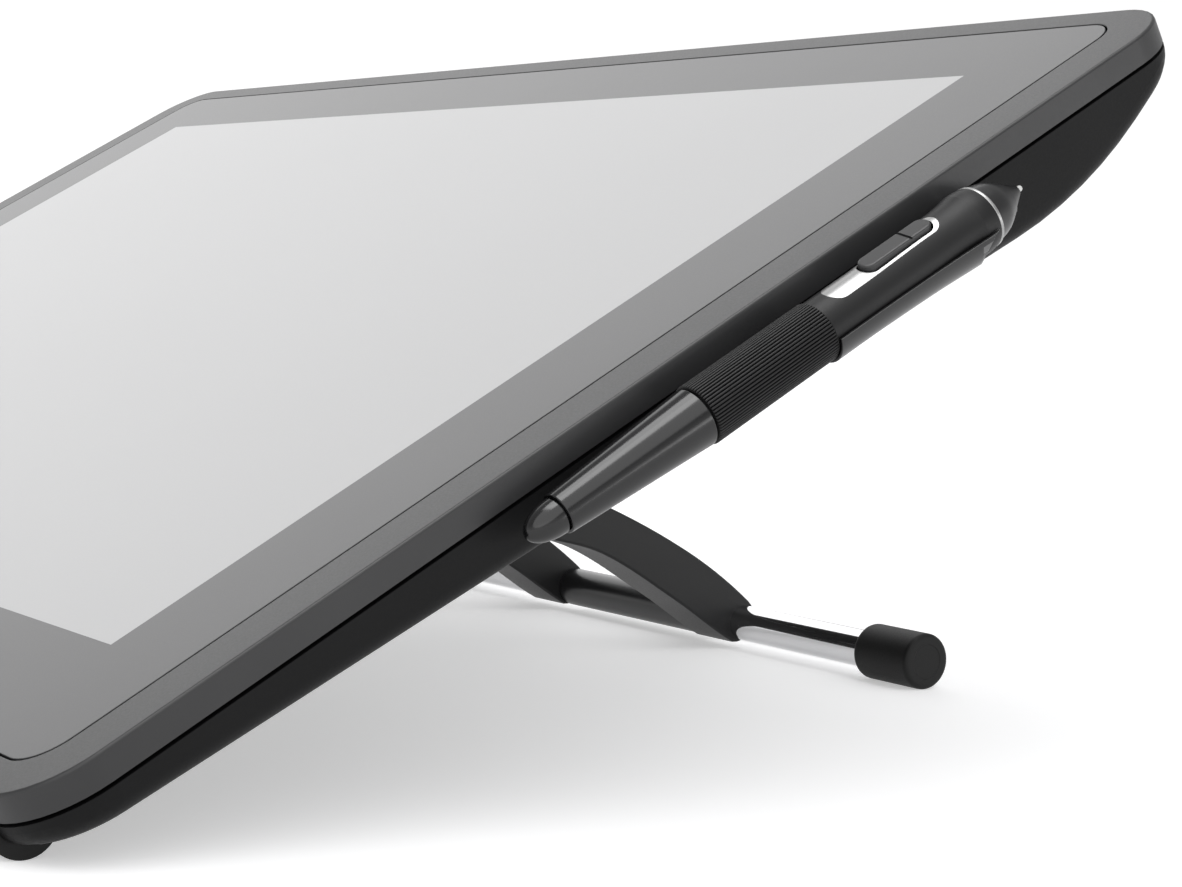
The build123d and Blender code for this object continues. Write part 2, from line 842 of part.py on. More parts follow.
pipe_foot = 2.0

with BuildPart() as status_light_pipe:
    with BuildSketch(screen(board_w - pipe_foot, button_u + light_offset_u, button_v)):
        Circle(light_radius)
    extrude(amount=button_face_w + 0.2 - board_w + pipe_foot)
    with BuildSketch(screen(board_w - pipe_foot, button_u + light_offset_u + 3, button_v)):
        Rectangle(8, 2 * light_radius - 0.1)
    extrude(amount=pipe_foot)
finish(status_light_pipe.part, "status_light_pipe")

cover_inner_low = back_w(bay_bottom) + port_cover_thickness
cover_inner_high = back_w(bay_top) + port_cover_thickness

with BuildPart() as port_cover:
    with BuildSketch(screen(back_w(bay_top) + port_cover_thickness + 1, u=bay_mid_u, v=bay_mid_v)):
        Rectangle(bay_width - 2 * cover_gap, bay_height - 2 * cover_gap)
        with Locations((0, (cable_notch - bay_height) / 2)):
            Rectangle(notch_width, cable_notch, mode=Mode.SUBTRACT)
    extrude(amount=-deep)
    with BuildSketch(side(bay_left)):
        with BuildLine():
            outside = Line((bay_bottom, back_w(bay_bottom)), (bay_top, back_w(bay_top)))
            Polyline(outside @ 1, (bay_top, -2 * deep), (bay_bottom, -2 * deep), outside @ 0)
        make_face()
    extrude(amount=bay_width, mode=Mode.SUBTRACT)
    with BuildSketch(side(bay_left)):
        with BuildLine():
            inside = Line((bay_bottom, cover_inner_low), (bay_top, cover_inner_high))
            Polyline(inside @ 1, (bay_top, deep), (bay_bottom, deep), inside @ 0)
        make_face()
    extrude(amount=bay_width, mode=Mode.SUBTRACT)
finish(port_cover.part, "port_cover")

# ---- stand base, fixed to the pad
base_w = pad_w - base_thickness
hinge_at = (hinge_v, hinge_w)
lug_outer_u = lug_inner_u + lug_thickness
lug_wall = 0.8
bush_radius = shaft_radius + running_gap + bush_wall

with BuildPart() as stand_base:
    with BuildSketch(screen(base_w, v=(base_bottom_v + base_top_v) / 2)):
        RectangleRounded(2 * base_half_width, base_top_v - base_bottom_v, 5)
    extrude(amount=base_thickness)
    for x in (-1, 1):
        with BuildSketch(side(x * (base_half_width - ear_thickness / 2))):
            with Locations(hinge_at):
                Circle(ear_radius)
            with Locations((hinge_v, (base_w + hinge_w) / 2)):
                Rectangle(2 * ear_radius, base_w - hinge_w)
        extrude(amount=ear_thickness / 2, both=True)
        with BuildSketch(side(x * (lug_inner_u + lug_thickness / 2))):
            with Locations((lever_pin_v, lever_pin_w)):
                Circle(lever_hub_radius + lug_wall)
            with Locations((lever_pin_v, (base_w + lever_pin_w) / 2)):
                Rectangle(2 * (lever_hub_radius + lug_wall), base_w - lever_pin_w)
        extrude(amount=lug_thickness / 2, both=True)
    with BuildSketch(side(0)):
        with Locations(hinge_at):
            Circle(bush_radius)
    extrude(amount=2 * base_half_width, both=True, mode=Mode.SUBTRACT)
    with BuildSketch(side(0)):
        with Locations((lever_pin_v, lever_pin_w)):
            Circle(lever_pin_radius)
    extrude(amount=lug_outer_u + 1, both=True, mode=Mode.SUBTRACT)
    with BuildSketch(screen(base_w)):
        with Locations(*base_screw_places):
            Circle(base_screw_radius)
    extrude(amount=base_thickness, mode=Mode.SUBTRACT)
finish(stand_base.part, "stand_base")

with BuildPart() as stand_base_screws:
    with BuildSketch(screen(base_w)):
        with Locations(*base_screw_places):
            Circle(base_screw_head_radius)
    extrude(amount=-base_screw_head_height)
    with BuildSketch(screen(base_w)):
        with Locations(*base_screw_places):
            Circle(base_screw_radius)
    extrude(amount=base_thickness + wall)
finish(stand_base_screws.part, "stand_base_screws")

with BuildPart() as hinge_bushes:
    for x in (-1, 1):
        with BuildSketch(side(x * (base_half_width - ear_thickness / 2))):
            with Locations(hinge_at):
                Circle(bush_radius)
                Circle(shaft_radius + running_gap, mode=Mode.SUBTRACT)
        extrude(amount=ear_thickness / 2, both=True)
finish(hinge_bushes.part, "hinge_bushes")

with BuildPart() as lever_pin:
    with BuildSketch(side(0)):
        with Locations((lever_pin_v, lever_pin_w)):
            Circle(lever_pin_radius)
    extrude(amount=lug_outer_u, both=True)
finish(lever_pin.part, "lever_pin")

# ---- the swinging stand: shaft, ratchet, legs and foot tube
with BuildPart() as hinge_shaft:
    with BuildSketch(side(0)):
        with Locations(hinge_at):
            Circle(shaft_radius)
    extrude(amount=shaft_half_length, both=True)
finish(hinge_shaft.part, "hinge_shaft")

with BuildPart() as ratchet_wheel:
    with BuildSketch(side(0)):
        with Locations(hinge_at):
            Circle(ratchet_radius)
            with PolarLocations(ratchet_radius, ratchet_teeth, start_angle=360 / ratchet_teeth / 2):
                Circle(ratchet_tooth, mode=Mode.SUBTRACT)
            Circle(shaft_radius, mode=Mode.SUBTRACT)
    extrude(amount=ratchet_half_width, both=True)
finish(ratchet_wheel.part, "ratchet_wheel")

with BuildPart() as hinge_washers:
    for x in (-1, 1):
        with BuildSketch(side(x * (leg_inner_u - washer_thickness / 2))):
            with Locations(hinge_at):
                Circle(shaft_radius + washer_rim)
                Circle(shaft_radius, mode=Mode.SUBTRACT)
        extrude(amount=washer_thickness / 2, both=True)
finish(hinge_washers.part, "hinge_washers")

arm_way = up_screen * cos(radians(arm_angle)) - out_of_screen * sin(radians(arm_angle))


def arm_side(u):
    return Plane(origin=place(u, hinge_v, hinge_w), x_dir=arm_way, z_dir=right_way)


def hub_touch(s, n, turn):
    away = atan2(n, s) + turn * acos(leg_hub_radius / hypot(s, n))
    return (leg_hub_radius * cos(away), leg_hub_radius * sin(away))


def make_leg(x):
    with BuildPart() as leg:
        with BuildSketch(arm_side(x * leg_inner_u)):
            with BuildLine():
                top = Line(hub_touch(*leg_back, 1), leg_back)
                crest = TangentArc(top @ 1, leg_crest, tangent=top % 1)
                nose = TangentArc(crest @ 1, leg_nose, tangent=crest % 1)
                tip = TangentArc(nose @ 1, leg_tip, tangent=nose % 1)
                under = Line(leg_sole, hub_touch(*leg_sole, -1))
                Spline(tip @ 1, *leg_hollow, leg_sole, tangents=((-1.0, 0.1), under % 0))
                ThreePointArc(under @ 1, (-leg_hub_radius, 0), top @ 0)
            make_face()
        extrude(amount=x * leg_thickness)
        with BuildSketch(arm_side(0)):
            Circle(shaft_radius)
            with Locations((arm_length, 0)):
                Circle(tube_radius)
            with Locations((bridge_s, 0)):
                Circle(bridge_radius)
        extrude(amount=x * (leg_inner_u + leg_thickness), mode=Mode.SUBTRACT)
    return leg.part


finish(make_leg(-1), "left_leg")
finish(make_leg(1), "right_leg")

with BuildPart() as leg_bridge:
    with BuildSketch(arm_side(0)):
        with Locations((bridge_s, 0)):
            Circle(bridge_radius)
    extrude(amount=leg_inner_u + leg_thickness - 1.0, both=True)
finish(leg_bridge.part, "leg_bridge")

with BuildPart() as foot_tube:
    with BuildSketch(arm_side(0)):
        with Locations((arm_length, 0)):
            Circle(tube_radius)
            Circle(tube_radius - tube_wall, mode=Mode.SUBTRACT)
    extrude(amount=tube_half_length, both=True)
finish(foot_tube.part, "foot_tube")

with BuildPart() as centre_sleeve:
    with BuildSketch(arm_side(0)):
        with Locations((arm_length, 0)):
            Circle(sleeve_radius)
            Circle(tube_radius, mode=Mode.SUBTRACT)
    extrude(amount=leg_inner_u, both=True)
finish(centre_sleeve.part, "centre_sleeve")


def make_cap(x):
    with BuildPart() as cap:
        with BuildSketch(arm_side(x * cap_inner_u)):
            with Locations((arm_length, 0)):
                Circle(cap_radius)
        extrude(amount=x * cap_length)
        fillet(cap.edges(), cap_edge)
        with BuildSketch(arm_side(x * cap_inner_u)):
            with Locations((arm_length, 0)):
                Circle(tube_radius)
        extrude(amount=x * cap_overlap, mode=Mode.SUBTRACT)
    return cap.part


finish(make_cap(-1), "left_end_cap")
finish(make_cap(1), "right_end_cap")

lever_mid_w = lever_pin_w - 0.9
paddle_start_v = lever_pin_v + 10.0
pawl_root_v = lever_pin_v - pawl_width / 2
pawl_tip_v = hinge_v + ratchet_radius + pawl_gap
pawl_tip_w = hinge_w - 1.0

with BuildPart() as release_lever:
    with BuildSketch(side(0)):
        with Locations((lever_pin_v, lever_pin_w)):
            Circle(lever_hub_radius)
        with BuildLine():
            root = Line((pawl_root_v, lever_pin_w), (pawl_root_v + pawl_width, lever_pin_w))
            Polyline(root @ 1, (pawl_tip_v + pawl_width, pawl_tip_w), (pawl_tip_v, pawl_tip_w), root @ 0)
        make_face()
        with Locations(((lever_pin_v + lever_reach_v) / 2, lever_mid_w)):
            Rectangle(lever_reach_v - lever_pin_v, lever_thickness)
    extrude(amount=lever_neck_half, both=True)
    with BuildSketch(screen(lever_mid_w - lever_thickness / 2, v=(lever_reach_v + paddle_start_v) / 2)):
        RectangleRounded(2 * lever_paddle_half, lever_reach_v - paddle_start_v, 4)
    extrude(amount=lever_thickness)
    with BuildSketch(side(0)):
        with Locations((lever_pin_v, lever_pin_w)):
            Circle(lever_pin_radius + running_gap)
    extrude(amount=lever_neck_half, both=True, mode=Mode.SUBTRACT)
finish(release_lever.part, "release_lever")

# ---- pen
pen_axis = Axis(origin=place(pen_u, 0, pen_w), direction=up_screen)
pen_plane = screen(pen_w, u=pen_u)


def pen_across(v):
    return Plane(origin=place(pen_u, v, pen_w), x_dir=right_way, z_dir=up_screen)


with BuildPart() as pen_nib:
    with BuildSketch(pen_plane):
        with BuildLine():
            stem = Line((0, nib_rear_v), (nib_radius, nib_rear_v))
            shank = Line(stem @ 1, (nib_radius, nib_end_v - nib_radius))
            dome = RadiusArc(shank @ 1, (0, nib_end_v), -nib_radius)
            Line(dome @ 1, stem @ 0)
        make_face()
    revolve(axis=pen_axis)
finish(pen_nib.part, "pen_nib")

nose_bore = nib_radius + running_gap
ring_length = 0.9
nose_start_v = ring_v + ring_length / 2
barrel_end_v = ring_v - ring_length / 2

with BuildPart() as pen_nose_cone:
    with BuildSketch(pen_plane):
        with BuildLine():
            base = Line((nose_bore, nose_start_v), (nose_base_radius, nose_start_v))
            cone = ThreePointArc(base @ 1, (nose_mid_radius, nose_mid_v), (nose_step_radius, nose_step_v))
            tip = Line((nose_neck_radius, nose_step_v), (nose_end_radius, nose_end_v))
            Line(cone @ 1, tip @ 0)
            Polyline(tip @ 1, (nose_bore, nose_end_v), base @ 0)
        make_face()
    revolve(axis=pen_axis)
finish(pen_nose_cone.part, "pen_nose_cone")

with BuildPart() as pen_ring:
    with BuildSketch(pen_across(barrel_end_v)):
        Circle(ring_radius)
        Circle(pen_bore, mode=Mode.SUBTRACT)
    extrude(amount=ring_length)
finish(pen_ring.part, "pen_ring")


def barrel_arc(extra):
    rear = barrel_rear_radius + extra
    front = barrel_front_radius + extra
    waist = (barrel_waist_radius + extra, 57.0)
    with BuildLine(Plane.XY) as line:
        grip = Line((rear, sleeve_front_v), (rear + 0.05, 38.0))
        flare = Spline(grip @ 1, waist, (front, 72.5), tangents=(grip % 1, (0.2, 1.0)))
        ThreePointArc(flare @ 1, (front - 0.02, 75.0), (ring_radius + extra, barrel_end_v))
    return line.line


switch_way = right_way * cos(radians(switch_angle)) + out_of_screen * sin(radians(switch_angle))


def pen_flat(height):
    return Plane(origin=place(pen_u, 0, pen_w) + switch_way * height, x_dir=up_screen, z_dir=switch_way)


plate_mid_v = (plate_rear_v + plate_front_v) / 2
plate_length = plate_front_v - plate_rear_v
switch_mid_v = (switch_rear_v + switch_front_v) / 2
switch_length = switch_front_v - switch_rear_v
plate_thickness = 0.35
plate_gap = 0.5

with BuildPart() as barrel_blank:
    with BuildSketch(pen_plane):
        with BuildLine():
            add(barrel_arc(0))
            Polyline((ring_radius, barrel_end_v), (0, barrel_end_v), (0, sleeve_front_v),
                     (barrel_rear_radius, sleeve_front_v))
        make_face()
    revolve(axis=pen_axis)

with BuildPart() as plate_blank:
    with BuildSketch(pen_flat(0)):
        with Locations((plate_mid_v, 0)):
            SlotOverall(plate_length, 2 * plate_half_width)
    extrude(amount=deep)
    add(barrel_blank.part, mode=Mode.INTERSECT)

with BuildPart() as pen_side_plate:
    add(plate_blank.part)
    with BuildSketch(pen_plane):
        with BuildLine():
            add(barrel_arc(-plate_thickness))
            Polyline((ring_radius - plate_thickness, barrel_end_v), (0, barrel_end_v),
                     (0, sleeve_front_v), (barrel_rear_radius - plate_thickness, sleeve_front_v))
        make_face()
    revolve(axis=pen_axis, mode=Mode.SUBTRACT)
    with BuildSketch(pen_flat(0)):
        with Locations((switch_mid_v, 0)):
            SlotOverall(switch_length + 2 * plate_gap, 2 * (switch_half_width + plate_gap))
    extrude(amount=deep, mode=Mode.SUBTRACT)
finish(pen_side_plate.part, "pen_side_plate")

with BuildPart() as pen_front_barrel:
    add(barrel_blank.part)
    add(pen_side_plate.part, mode=Mode.SUBTRACT)
    with BuildSketch(pen_across(sleeve_front_v - 1)):
        Circle(pen_bore)
    extrude(amount=ring_v - sleeve_front_v + 2, mode=Mode.SUBTRACT)
    with BuildSketch(pen_flat(switch_floor)):
        with Locations((switch_mid_v, 0)):
            SlotOverall(switch_length + 2 * plate_gap, 2 * (switch_half_width + plate_gap))
    extrude(amount=deep, mode=Mode.SUBTRACT)
finish(pen_front_barrel.part, "pen_front_barrel")

with BuildPart() as pen_side_switch:
    with BuildSketch(pen_flat(switch_floor + switch_lift)):
        with Locations((switch_mid_v, 0)):
            SlotOverall(switch_length, 2 * switch_half_width)
    extrude(amount=switch_top - switch_floor - switch_lift)
    pen_middle = place(pen_u, 0, pen_w)
    brim = switch_top - 0.01
    top_edges = [e for e in pen_side_switch.edges() if (e.center() - pen_middle).dot(switch_way) > brim]
    fillet(top_edges, switch_edge)
    with BuildSketch(pen_flat(switch_top - switch_edge)):
        with Locations((switch_mid_v + 3.2, 0)):
            Rectangle(0.8, 2 * switch_half_width + 1)
    extrude(amount=1, mode=Mode.SUBTRACT)
finish(pen_side_switch.part, "pen_side_switch")

with BuildPart() as pen_ribbed_sleeve:
    with BuildSketch(pen_across(sleeve_rear_v)):
        Circle(rib_radius)
        with PolarLocations(rib_radius, rib_count):
            Rectangle(2 * rib_depth, rib_width, mode=Mode.SUBTRACT)
        Circle(pen_bore, mode=Mode.SUBTRACT)
    extrude(amount=sleeve_front_v - sleeve_rear_v)
finish(pen_ribbed_sleeve.part, "pen_ribbed_sleeve")

tail_gap = 0.5
tail_groove_radius = tail_front_radius - 0.6
tail_socket_v = tail_end_v + 12.0

with BuildPart() as pen_tail:
    with BuildSketch(pen_plane):
        with BuildLine():
            groove = Line((tail_groove_radius, sleeve_rear_v), (tail_groove_radius, sleeve_rear_v - tail_gap))
            taper = Line((tail_front_radius, sleeve_rear_v - tail_gap), (tail_rear_radius, tail_end_v))
            Line(groove @ 1, taper @ 0)
            socket = Polyline(taper @ 1, (tail_core_radius, tail_end_v), (tail_core_radius, tail_socket_v))
            Polyline(socket @ 1, (pen_bore, tail_socket_v), (pen_bore, sleeve_rear_v), groove @ 0)
        make_face()
    revolve(axis=pen_axis)
finish(pen_tail.part, "pen_tail")

eraser_lip_v = tail_end_v - eraser_gap
eraser_stem_v = tail_end_v + 6.0

with BuildPart() as pen_eraser:
    with BuildSketch(pen_plane):
        with BuildLine():
            start = Line((0, eraser_stem_v), (eraser_stem_radius, eraser_stem_v))
            stem = Line(start @ 1, (eraser_stem_radius, eraser_lip_v))
            lip = Line(stem @ 1, (eraser_radius, eraser_lip_v))
            dome = Spline(lip @ 1, *eraser_curve, (0, pen_tail_v), tangents=((0.0, -1.0), (-1.0, 0.0)))
            Line(dome @ 1, start @ 0)
        make_face()
    revolve(axis=pen_axis)
finish(pen_eraser.part, "pen_eraser")

with BuildPart() as pen_core:
    with BuildSketch(pen_across(core_rear_v)):
        Circle(core_radius)
    extrude(amount=core_length)
    with BuildSketch(pen_across(core_rear_v + 4)):
        Rectangle(core_board_width, 1.0)
    extrude(amount=core_board_length)
finish(pen_core.part, "pen_core")

with BuildPart() as pen_coil:
    with BuildSketch(pen_across(coil_rear_v)):
        Circle(coil_radius)
        Circle(coil_bore, mode=Mode.SUBTRACT)
    extrude(amount=coil_length)
finish(pen_coil.part, "pen_coil")

# ---- pen holder: a half trough on a tab that plugs into the side of the body
slant_u, slant_v, slant_w = holder_slant
slant_way = right_way * slant_u + up_screen * slant_v + out_of_screen * slant_w
slant_start = place(pen_u, holder_front_v, pen_w)
slant_plane = Plane(origin=slant_start, x_dir=slant_way.cross(right_way), z_dir=slant_way)
tab_outer_u = pen_u - 3.0


def trough_plane(angle):
    spoke = right_way * cos(radians(angle)) + out_of_screen * sin(radians(angle))
    return Plane(origin=place(pen_u, 0, pen_w), x_dir=spoke, z_dir=spoke.cross(up_screen))


def trough_outline(outer):
    end_v = holder_front_v + 8
    with BuildSketch(trough_plane(holder_start_angle)) as sketch:
        with BuildLine():
            add(barrel_arc(outer))
            Polyline((ring_radius + outer, barrel_end_v), (ring_radius + outer, end_v), (0, end_v),
                     (0, sleeve_front_v), (barrel_rear_radius + outer, sleeve_front_v))
        make_face()
    return sketch.sketch


with BuildPart() as pen_holder:
    add(trough_outline(holder_gap + holder_wall))
    revolve(axis=pen_axis, revolution_arc=holder_span)
    with BuildSketch(screen(tab_w, u=(tab_inner_u + tab_outer_u) / 2, v=(tab_bottom_v + tab_top_v) / 2)):
        Rectangle(tab_outer_u - tab_inner_u, tab_top_v - tab_bottom_v)
    extrude(amount=tab_thickness)
    add(trough_outline(holder_gap))
    revolve(axis=pen_axis, mode=Mode.SUBTRACT)
    with BuildSketch(slant_plane):
        Rectangle(deep, deep)
    extrude(amount=deep, mode=Mode.SUBTRACT)
finish(pen_holder.part, "pen_holder")
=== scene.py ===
import bmesh
import bpy
import json
from math import acos, atan2, cos, hypot, pi, radians, sin
from mathutils import Euler, Matrix, Vector


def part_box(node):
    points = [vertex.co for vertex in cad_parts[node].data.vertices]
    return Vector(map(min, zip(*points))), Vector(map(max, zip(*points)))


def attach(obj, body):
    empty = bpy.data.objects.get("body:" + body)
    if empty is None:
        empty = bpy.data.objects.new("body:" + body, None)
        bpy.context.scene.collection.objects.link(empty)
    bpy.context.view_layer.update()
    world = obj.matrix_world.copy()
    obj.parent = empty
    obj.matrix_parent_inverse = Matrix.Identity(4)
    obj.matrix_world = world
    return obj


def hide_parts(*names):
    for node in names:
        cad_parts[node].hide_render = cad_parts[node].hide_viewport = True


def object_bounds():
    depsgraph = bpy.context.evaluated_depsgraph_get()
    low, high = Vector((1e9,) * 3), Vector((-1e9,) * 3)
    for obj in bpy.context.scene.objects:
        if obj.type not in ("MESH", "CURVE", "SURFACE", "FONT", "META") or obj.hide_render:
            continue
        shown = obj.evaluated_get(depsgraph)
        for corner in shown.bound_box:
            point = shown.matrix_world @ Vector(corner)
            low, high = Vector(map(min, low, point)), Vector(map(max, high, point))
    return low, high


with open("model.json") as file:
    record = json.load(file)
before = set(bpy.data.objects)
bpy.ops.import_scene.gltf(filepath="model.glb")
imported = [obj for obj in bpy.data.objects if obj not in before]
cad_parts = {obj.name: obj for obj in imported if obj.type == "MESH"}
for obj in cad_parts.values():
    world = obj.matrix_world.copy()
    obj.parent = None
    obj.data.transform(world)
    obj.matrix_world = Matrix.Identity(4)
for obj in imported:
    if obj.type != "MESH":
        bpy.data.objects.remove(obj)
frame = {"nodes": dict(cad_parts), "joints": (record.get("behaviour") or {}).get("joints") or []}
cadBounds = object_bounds()
nodes = frame["nodes"]
joints = {joint["name"]: joint for joint in frame["joints"]}
print("frame loaded,", len(nodes), "nodes")

# the tablet's own directions come from the frame; pieces are drawn in millimetres and placed once
# angles are in degrees, and what lies above frontLevel is on the face of the glass or the bezel
right = Vector((1, 0, 0))
outOfScreen = Vector(joints["pen_lift"]["axis"]).normalized()
upScreen = outOfScreen.cross(right)
toMetres = Matrix.Scale(0.001, 4)
sharpAngle = 35
cornerAngle = 60
mergeGap = 0.0005
frontLevel = -0.01
cornerSteps = 10


def middleOf(node):
    low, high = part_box(node)
    return (low + high) / 2


def placeAt(xWay, yWay, zWay, origin):
    turned = Matrix((xWay, yWay, zWay)).transposed().to_4x4()
    return Matrix.Translation(origin) @ turned @ toMetres


# ---- drawing helpers

def startMesh(points, closed):
    bm = bmesh.new()
    verts = [bm.verts.new((*point[:2], 0)) for point in points]
    for first, second in zip(verts, verts[1:]):
        bm.edges.new((first, second))
    if closed:
        bm.edges.new((verts[-1], verts[0]))
    return bm


def softCorners(points, steps):
    # a third number on a point rounds that corner by so many millimetres
    rounded = []
    for i, point in enumerate(points):
        if len(point) == 2:
            rounded.append(point)
            continue
        corner = Vector(point[:2])
        before = (Vector(points[i - 1][:2]) - corner).normalized() * point[2]
        after = (Vector(points[(i + 1) % len(points)][:2]) - corner).normalized() * point[2]
        for k in range(steps + 1):
            t = k / steps
            rounded.append(tuple(corner + before * (1 - t) ** 2 + after * t ** 2))
    return rounded


def smoothRun(stations, slopes=(None, None)):
    # radius against length, one smooth line through the stations
    cuts = 8
    last = len(stations) - 1
    rise = []
    for i in range(last + 1):
        (r0, v0), (r1, v1) = stations[max(i - 1, 0)], stations[min(i + 1, last)]
        rise.append((r1 - r0) / (v1 - v0))
    rise[0] = rise[0] if slopes[0] is None else slopes[0]
    rise[-1] = rise[-1] if slopes[1] is None else slopes[1]
    run = []
    for i in range(last):
        (r0, v0), (r1, v1) = stations[i], stations[i + 1]
        span = v1 - v0
        for k in range(cuts):
            t = k / cuts
            bend = rise[i] * (t ** 3 - 2 * t * t + t) + rise[i + 1] * (t ** 3 - t * t)
            run.append((r0 + (r1 - r0) * (3 * t * t - 2 * t ** 3) + bend * span, v0 + span * t))
    return run + [stations[-1]]


def tangentArc(start, way, end, steps):
    start, way, end = Vector(start), Vector(way).normalized(), Vector(end)
    chord = end - start
    across = Vector((-way.y, way.x))
    if across.dot(chord) == 0:
        return [tuple(start), tuple(end)]
    centre = start + across * chord.length_squared / (2 * across.dot(chord))
    spoke = start - centre
    turn = 2 * atan2(way.x * chord.y - way.y * chord.x, way.dot(chord))
    points = []
    for k in range(steps + 1):
        a = turn * k / steps
        x = centre.x + spoke.x * cos(a) - spoke.y * sin(a)
        y = centre.y + spoke.x * sin(a) + spoke.y * cos(a)
        points.append((x, y))
    return points


def spun(points, closed=False, steps=96, corners=4):
    # a full turn about the local Y axis
    bm = startMesh(softCorners(points, corners), closed)
    bmesh.ops.spin(bm, geom=bm.verts[:] + bm.edges[:], cent=(0, 0, 0), axis=(0, 1, 0), dvec=(0, 0, 0),
                   angle=2 * pi, steps=steps, use_merge=True, use_duplicate=False)
    bmesh.ops.remove_doubles(bm, verts=bm.verts, dist=mergeGap)
    return bm


def roundedSheet(width, height, corner, middleV, level):
    bm = bmesh.new()
    bmesh.ops.create_grid(bm, x_segments=1, y_segments=1, size=0.5)
    bmesh.ops.scale(bm, vec=(width, height, 1), verts=bm.verts)
    bmesh.ops.bevel(bm, geom=bm.verts[:], offset=corner, offset_type="OFFSET", segments=cornerSteps,
                    profile=0.5, affect="VERTICES", material=-1, clamp_overlap=False)
    bmesh.ops.translate(bm, vec=(0, middleV, level), verts=bm.verts)
    return bm


def raised(bm, way):
    grown = bmesh.ops.extrude_face_region(bm, geom=bm.faces[:])
    bmesh.ops.translate(bm, vec=way, verts=[g for g in grown["geom"] if isinstance(g, bmesh.types.BMVert)])
    bmesh.ops.recalc_face_normals(bm, faces=bm.faces)


def bevelled(bm, edges, offset, steps):
    bmesh.ops.bevel(bm, geom=edges, offset=offset, offset_type="OFFSET", segments=steps, profile=0.5,
                    affect="EDGES", material=-1, clamp_overlap=False)


def sharpEdges(bm, angle):
    return [e for e in bm.edges if len(e.link_faces) == 2 and e.calc_face_angle(0) > radians(angle)]


def merged(*parts):
    whole = parts[0]
    for part in parts[1:]:
        mesh = bpy.data.meshes.new("joined")
        part.to_mesh(mesh)
        part.free()
        whole.from_mesh(mesh)
        bpy.data.meshes.remove(mesh)
    return whole


def addPiece(bm, name, place, body, replaced, finishes):
    bmesh.ops.transform(bm, matrix=place, verts=bm.verts)
    bmesh.ops.recalc_face_normals(bm, faces=bm.faces)
    for face in bm.faces:
        face.smooth = True
    for edge in bm.edges:
        edge.smooth = len(edge.link_faces) == 2 and edge.calc_face_angle(0) < radians(sharpAngle)
    mesh = bpy.data.meshes.new(name)
    bm.to_mesh(mesh)
    bm.free()
    for material in finishes:
        mesh.materials.append(material)
    piece = bpy.data.objects.new(name, mesh)
    bpy.context.scene.collection.objects.link(piece)
    weighted = piece.modifiers.new("evenShading", "WEIGHTED_NORMAL")
    weighted.keep_sharp = True
    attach(piece, body)
    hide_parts(*replaced)


# ---- finishes

def newMaterial(name):
    material = bpy.data.materials.new(name)
    material.use_nodes = True
    tree = material.node_tree
    coords = tree.nodes.new("ShaderNodeTexCoord")
    return material, tree, tree.nodes["Principled BSDF"], coords.outputs["Object"]


def noise(tree, coords, size, detail, stretch=None):
    if stretch:
        mapping = tree.nodes.new("ShaderNodeMapping")
        mapping.inputs["Rotation"].default_value = stretch[0]
        mapping.inputs["Scale"].default_value = stretch[1]
        tree.links.new(coords, mapping.inputs["Vector"])
        coords = mapping.outputs["Vector"]
    node = tree.nodes.new("ShaderNodeTexNoise")
    node.inputs["Scale"].default_value = 1 / size
    node.inputs["Detail"].default_value = detail
    tree.links.new(coords, node.inputs["Vector"])
    return node.outputs["Fac"]


def between(tree, factor, low, high):
    node = tree.nodes.new("ShaderNodeMapRange")
    node.inputs["From Min"].default_value = 0.3
    node.inputs["From Max"].default_value = 0.7
    node.inputs["To Min"].default_value = low
    node.inputs["To Max"].default_value = high
    tree.links.new(factor, node.inputs["Value"])
    return node.outputs["Result"]


def twoTone(tree, factor, dark, light):
    ramp = tree.nodes.new("ShaderNodeValToRGB")
    ramp.color_ramp.elements[0].position = 0.3
    ramp.color_ramp.elements[1].position = 0.7
    ramp.color_ramp.elements[0].color = (*dark, 1)
    ramp.color_ramp.elements[1].color = (*light, 1)
    tree.links.new(factor, ramp.inputs["Fac"])
    return ramp.outputs["Color"]


def addBump(tree, shader, height, depth):
    bump = tree.nodes.new("ShaderNodeBump")
    bump.inputs["Strength"].default_value = 1.0
    bump.inputs["Distance"].default_value = depth
    tree.links.new(height, bump.inputs["Height"])
    tree.links.new(bump.outputs["Normal"], shader.inputs["Normal"])


def moulded(name, tone, rough, grain, depth, drift=0.12, metal=0.0, specular=0.5, stretch=None):
    # tone drifts slowly over the part, and a fine grain changes the sheen and the surface a little
    material, tree, shader, coords = newMaterial(name)
    dark = tuple(c * (1 - drift) for c in tone)
    light = tuple(c * (1 + drift) for c in tone)
    slow = noise(tree, coords, 0.03, 3.0)
    fine = noise(tree, coords, grain, 3.0, stretch)
    tree.links.new(twoTone(tree, slow, dark, light), shader.inputs["Base Color"])
    tree.links.new(between(tree, fine, rough * 0.92, rough * 1.08), shader.inputs["Roughness"])
    shader.inputs["Metallic"].default_value = metal
    shader.inputs["Specular IOR Level"].default_value = specular
    addBump(tree, shader, fine, depth)
    return material


tones = {
    "frame": (0.018, 0.018, 0.0187),
    "case": (0.004, 0.004, 0.0042),
    "border": (0.030, 0.030, 0.031),
    "lit": (0.40, 0.40, 0.402),
    "leg": (0.009, 0.009, 0.0094),
    "rubber": (0.006, 0.006, 0.006),
    "grip": (0.005, 0.005, 0.0053),
    "gloss": (0.003, 0.003, 0.0033),
    "silver": (0.34, 0.34, 0.338),
    "chrome": (0.66, 0.66, 0.67),
    "steel": (0.42, 0.42, 0.43),
}

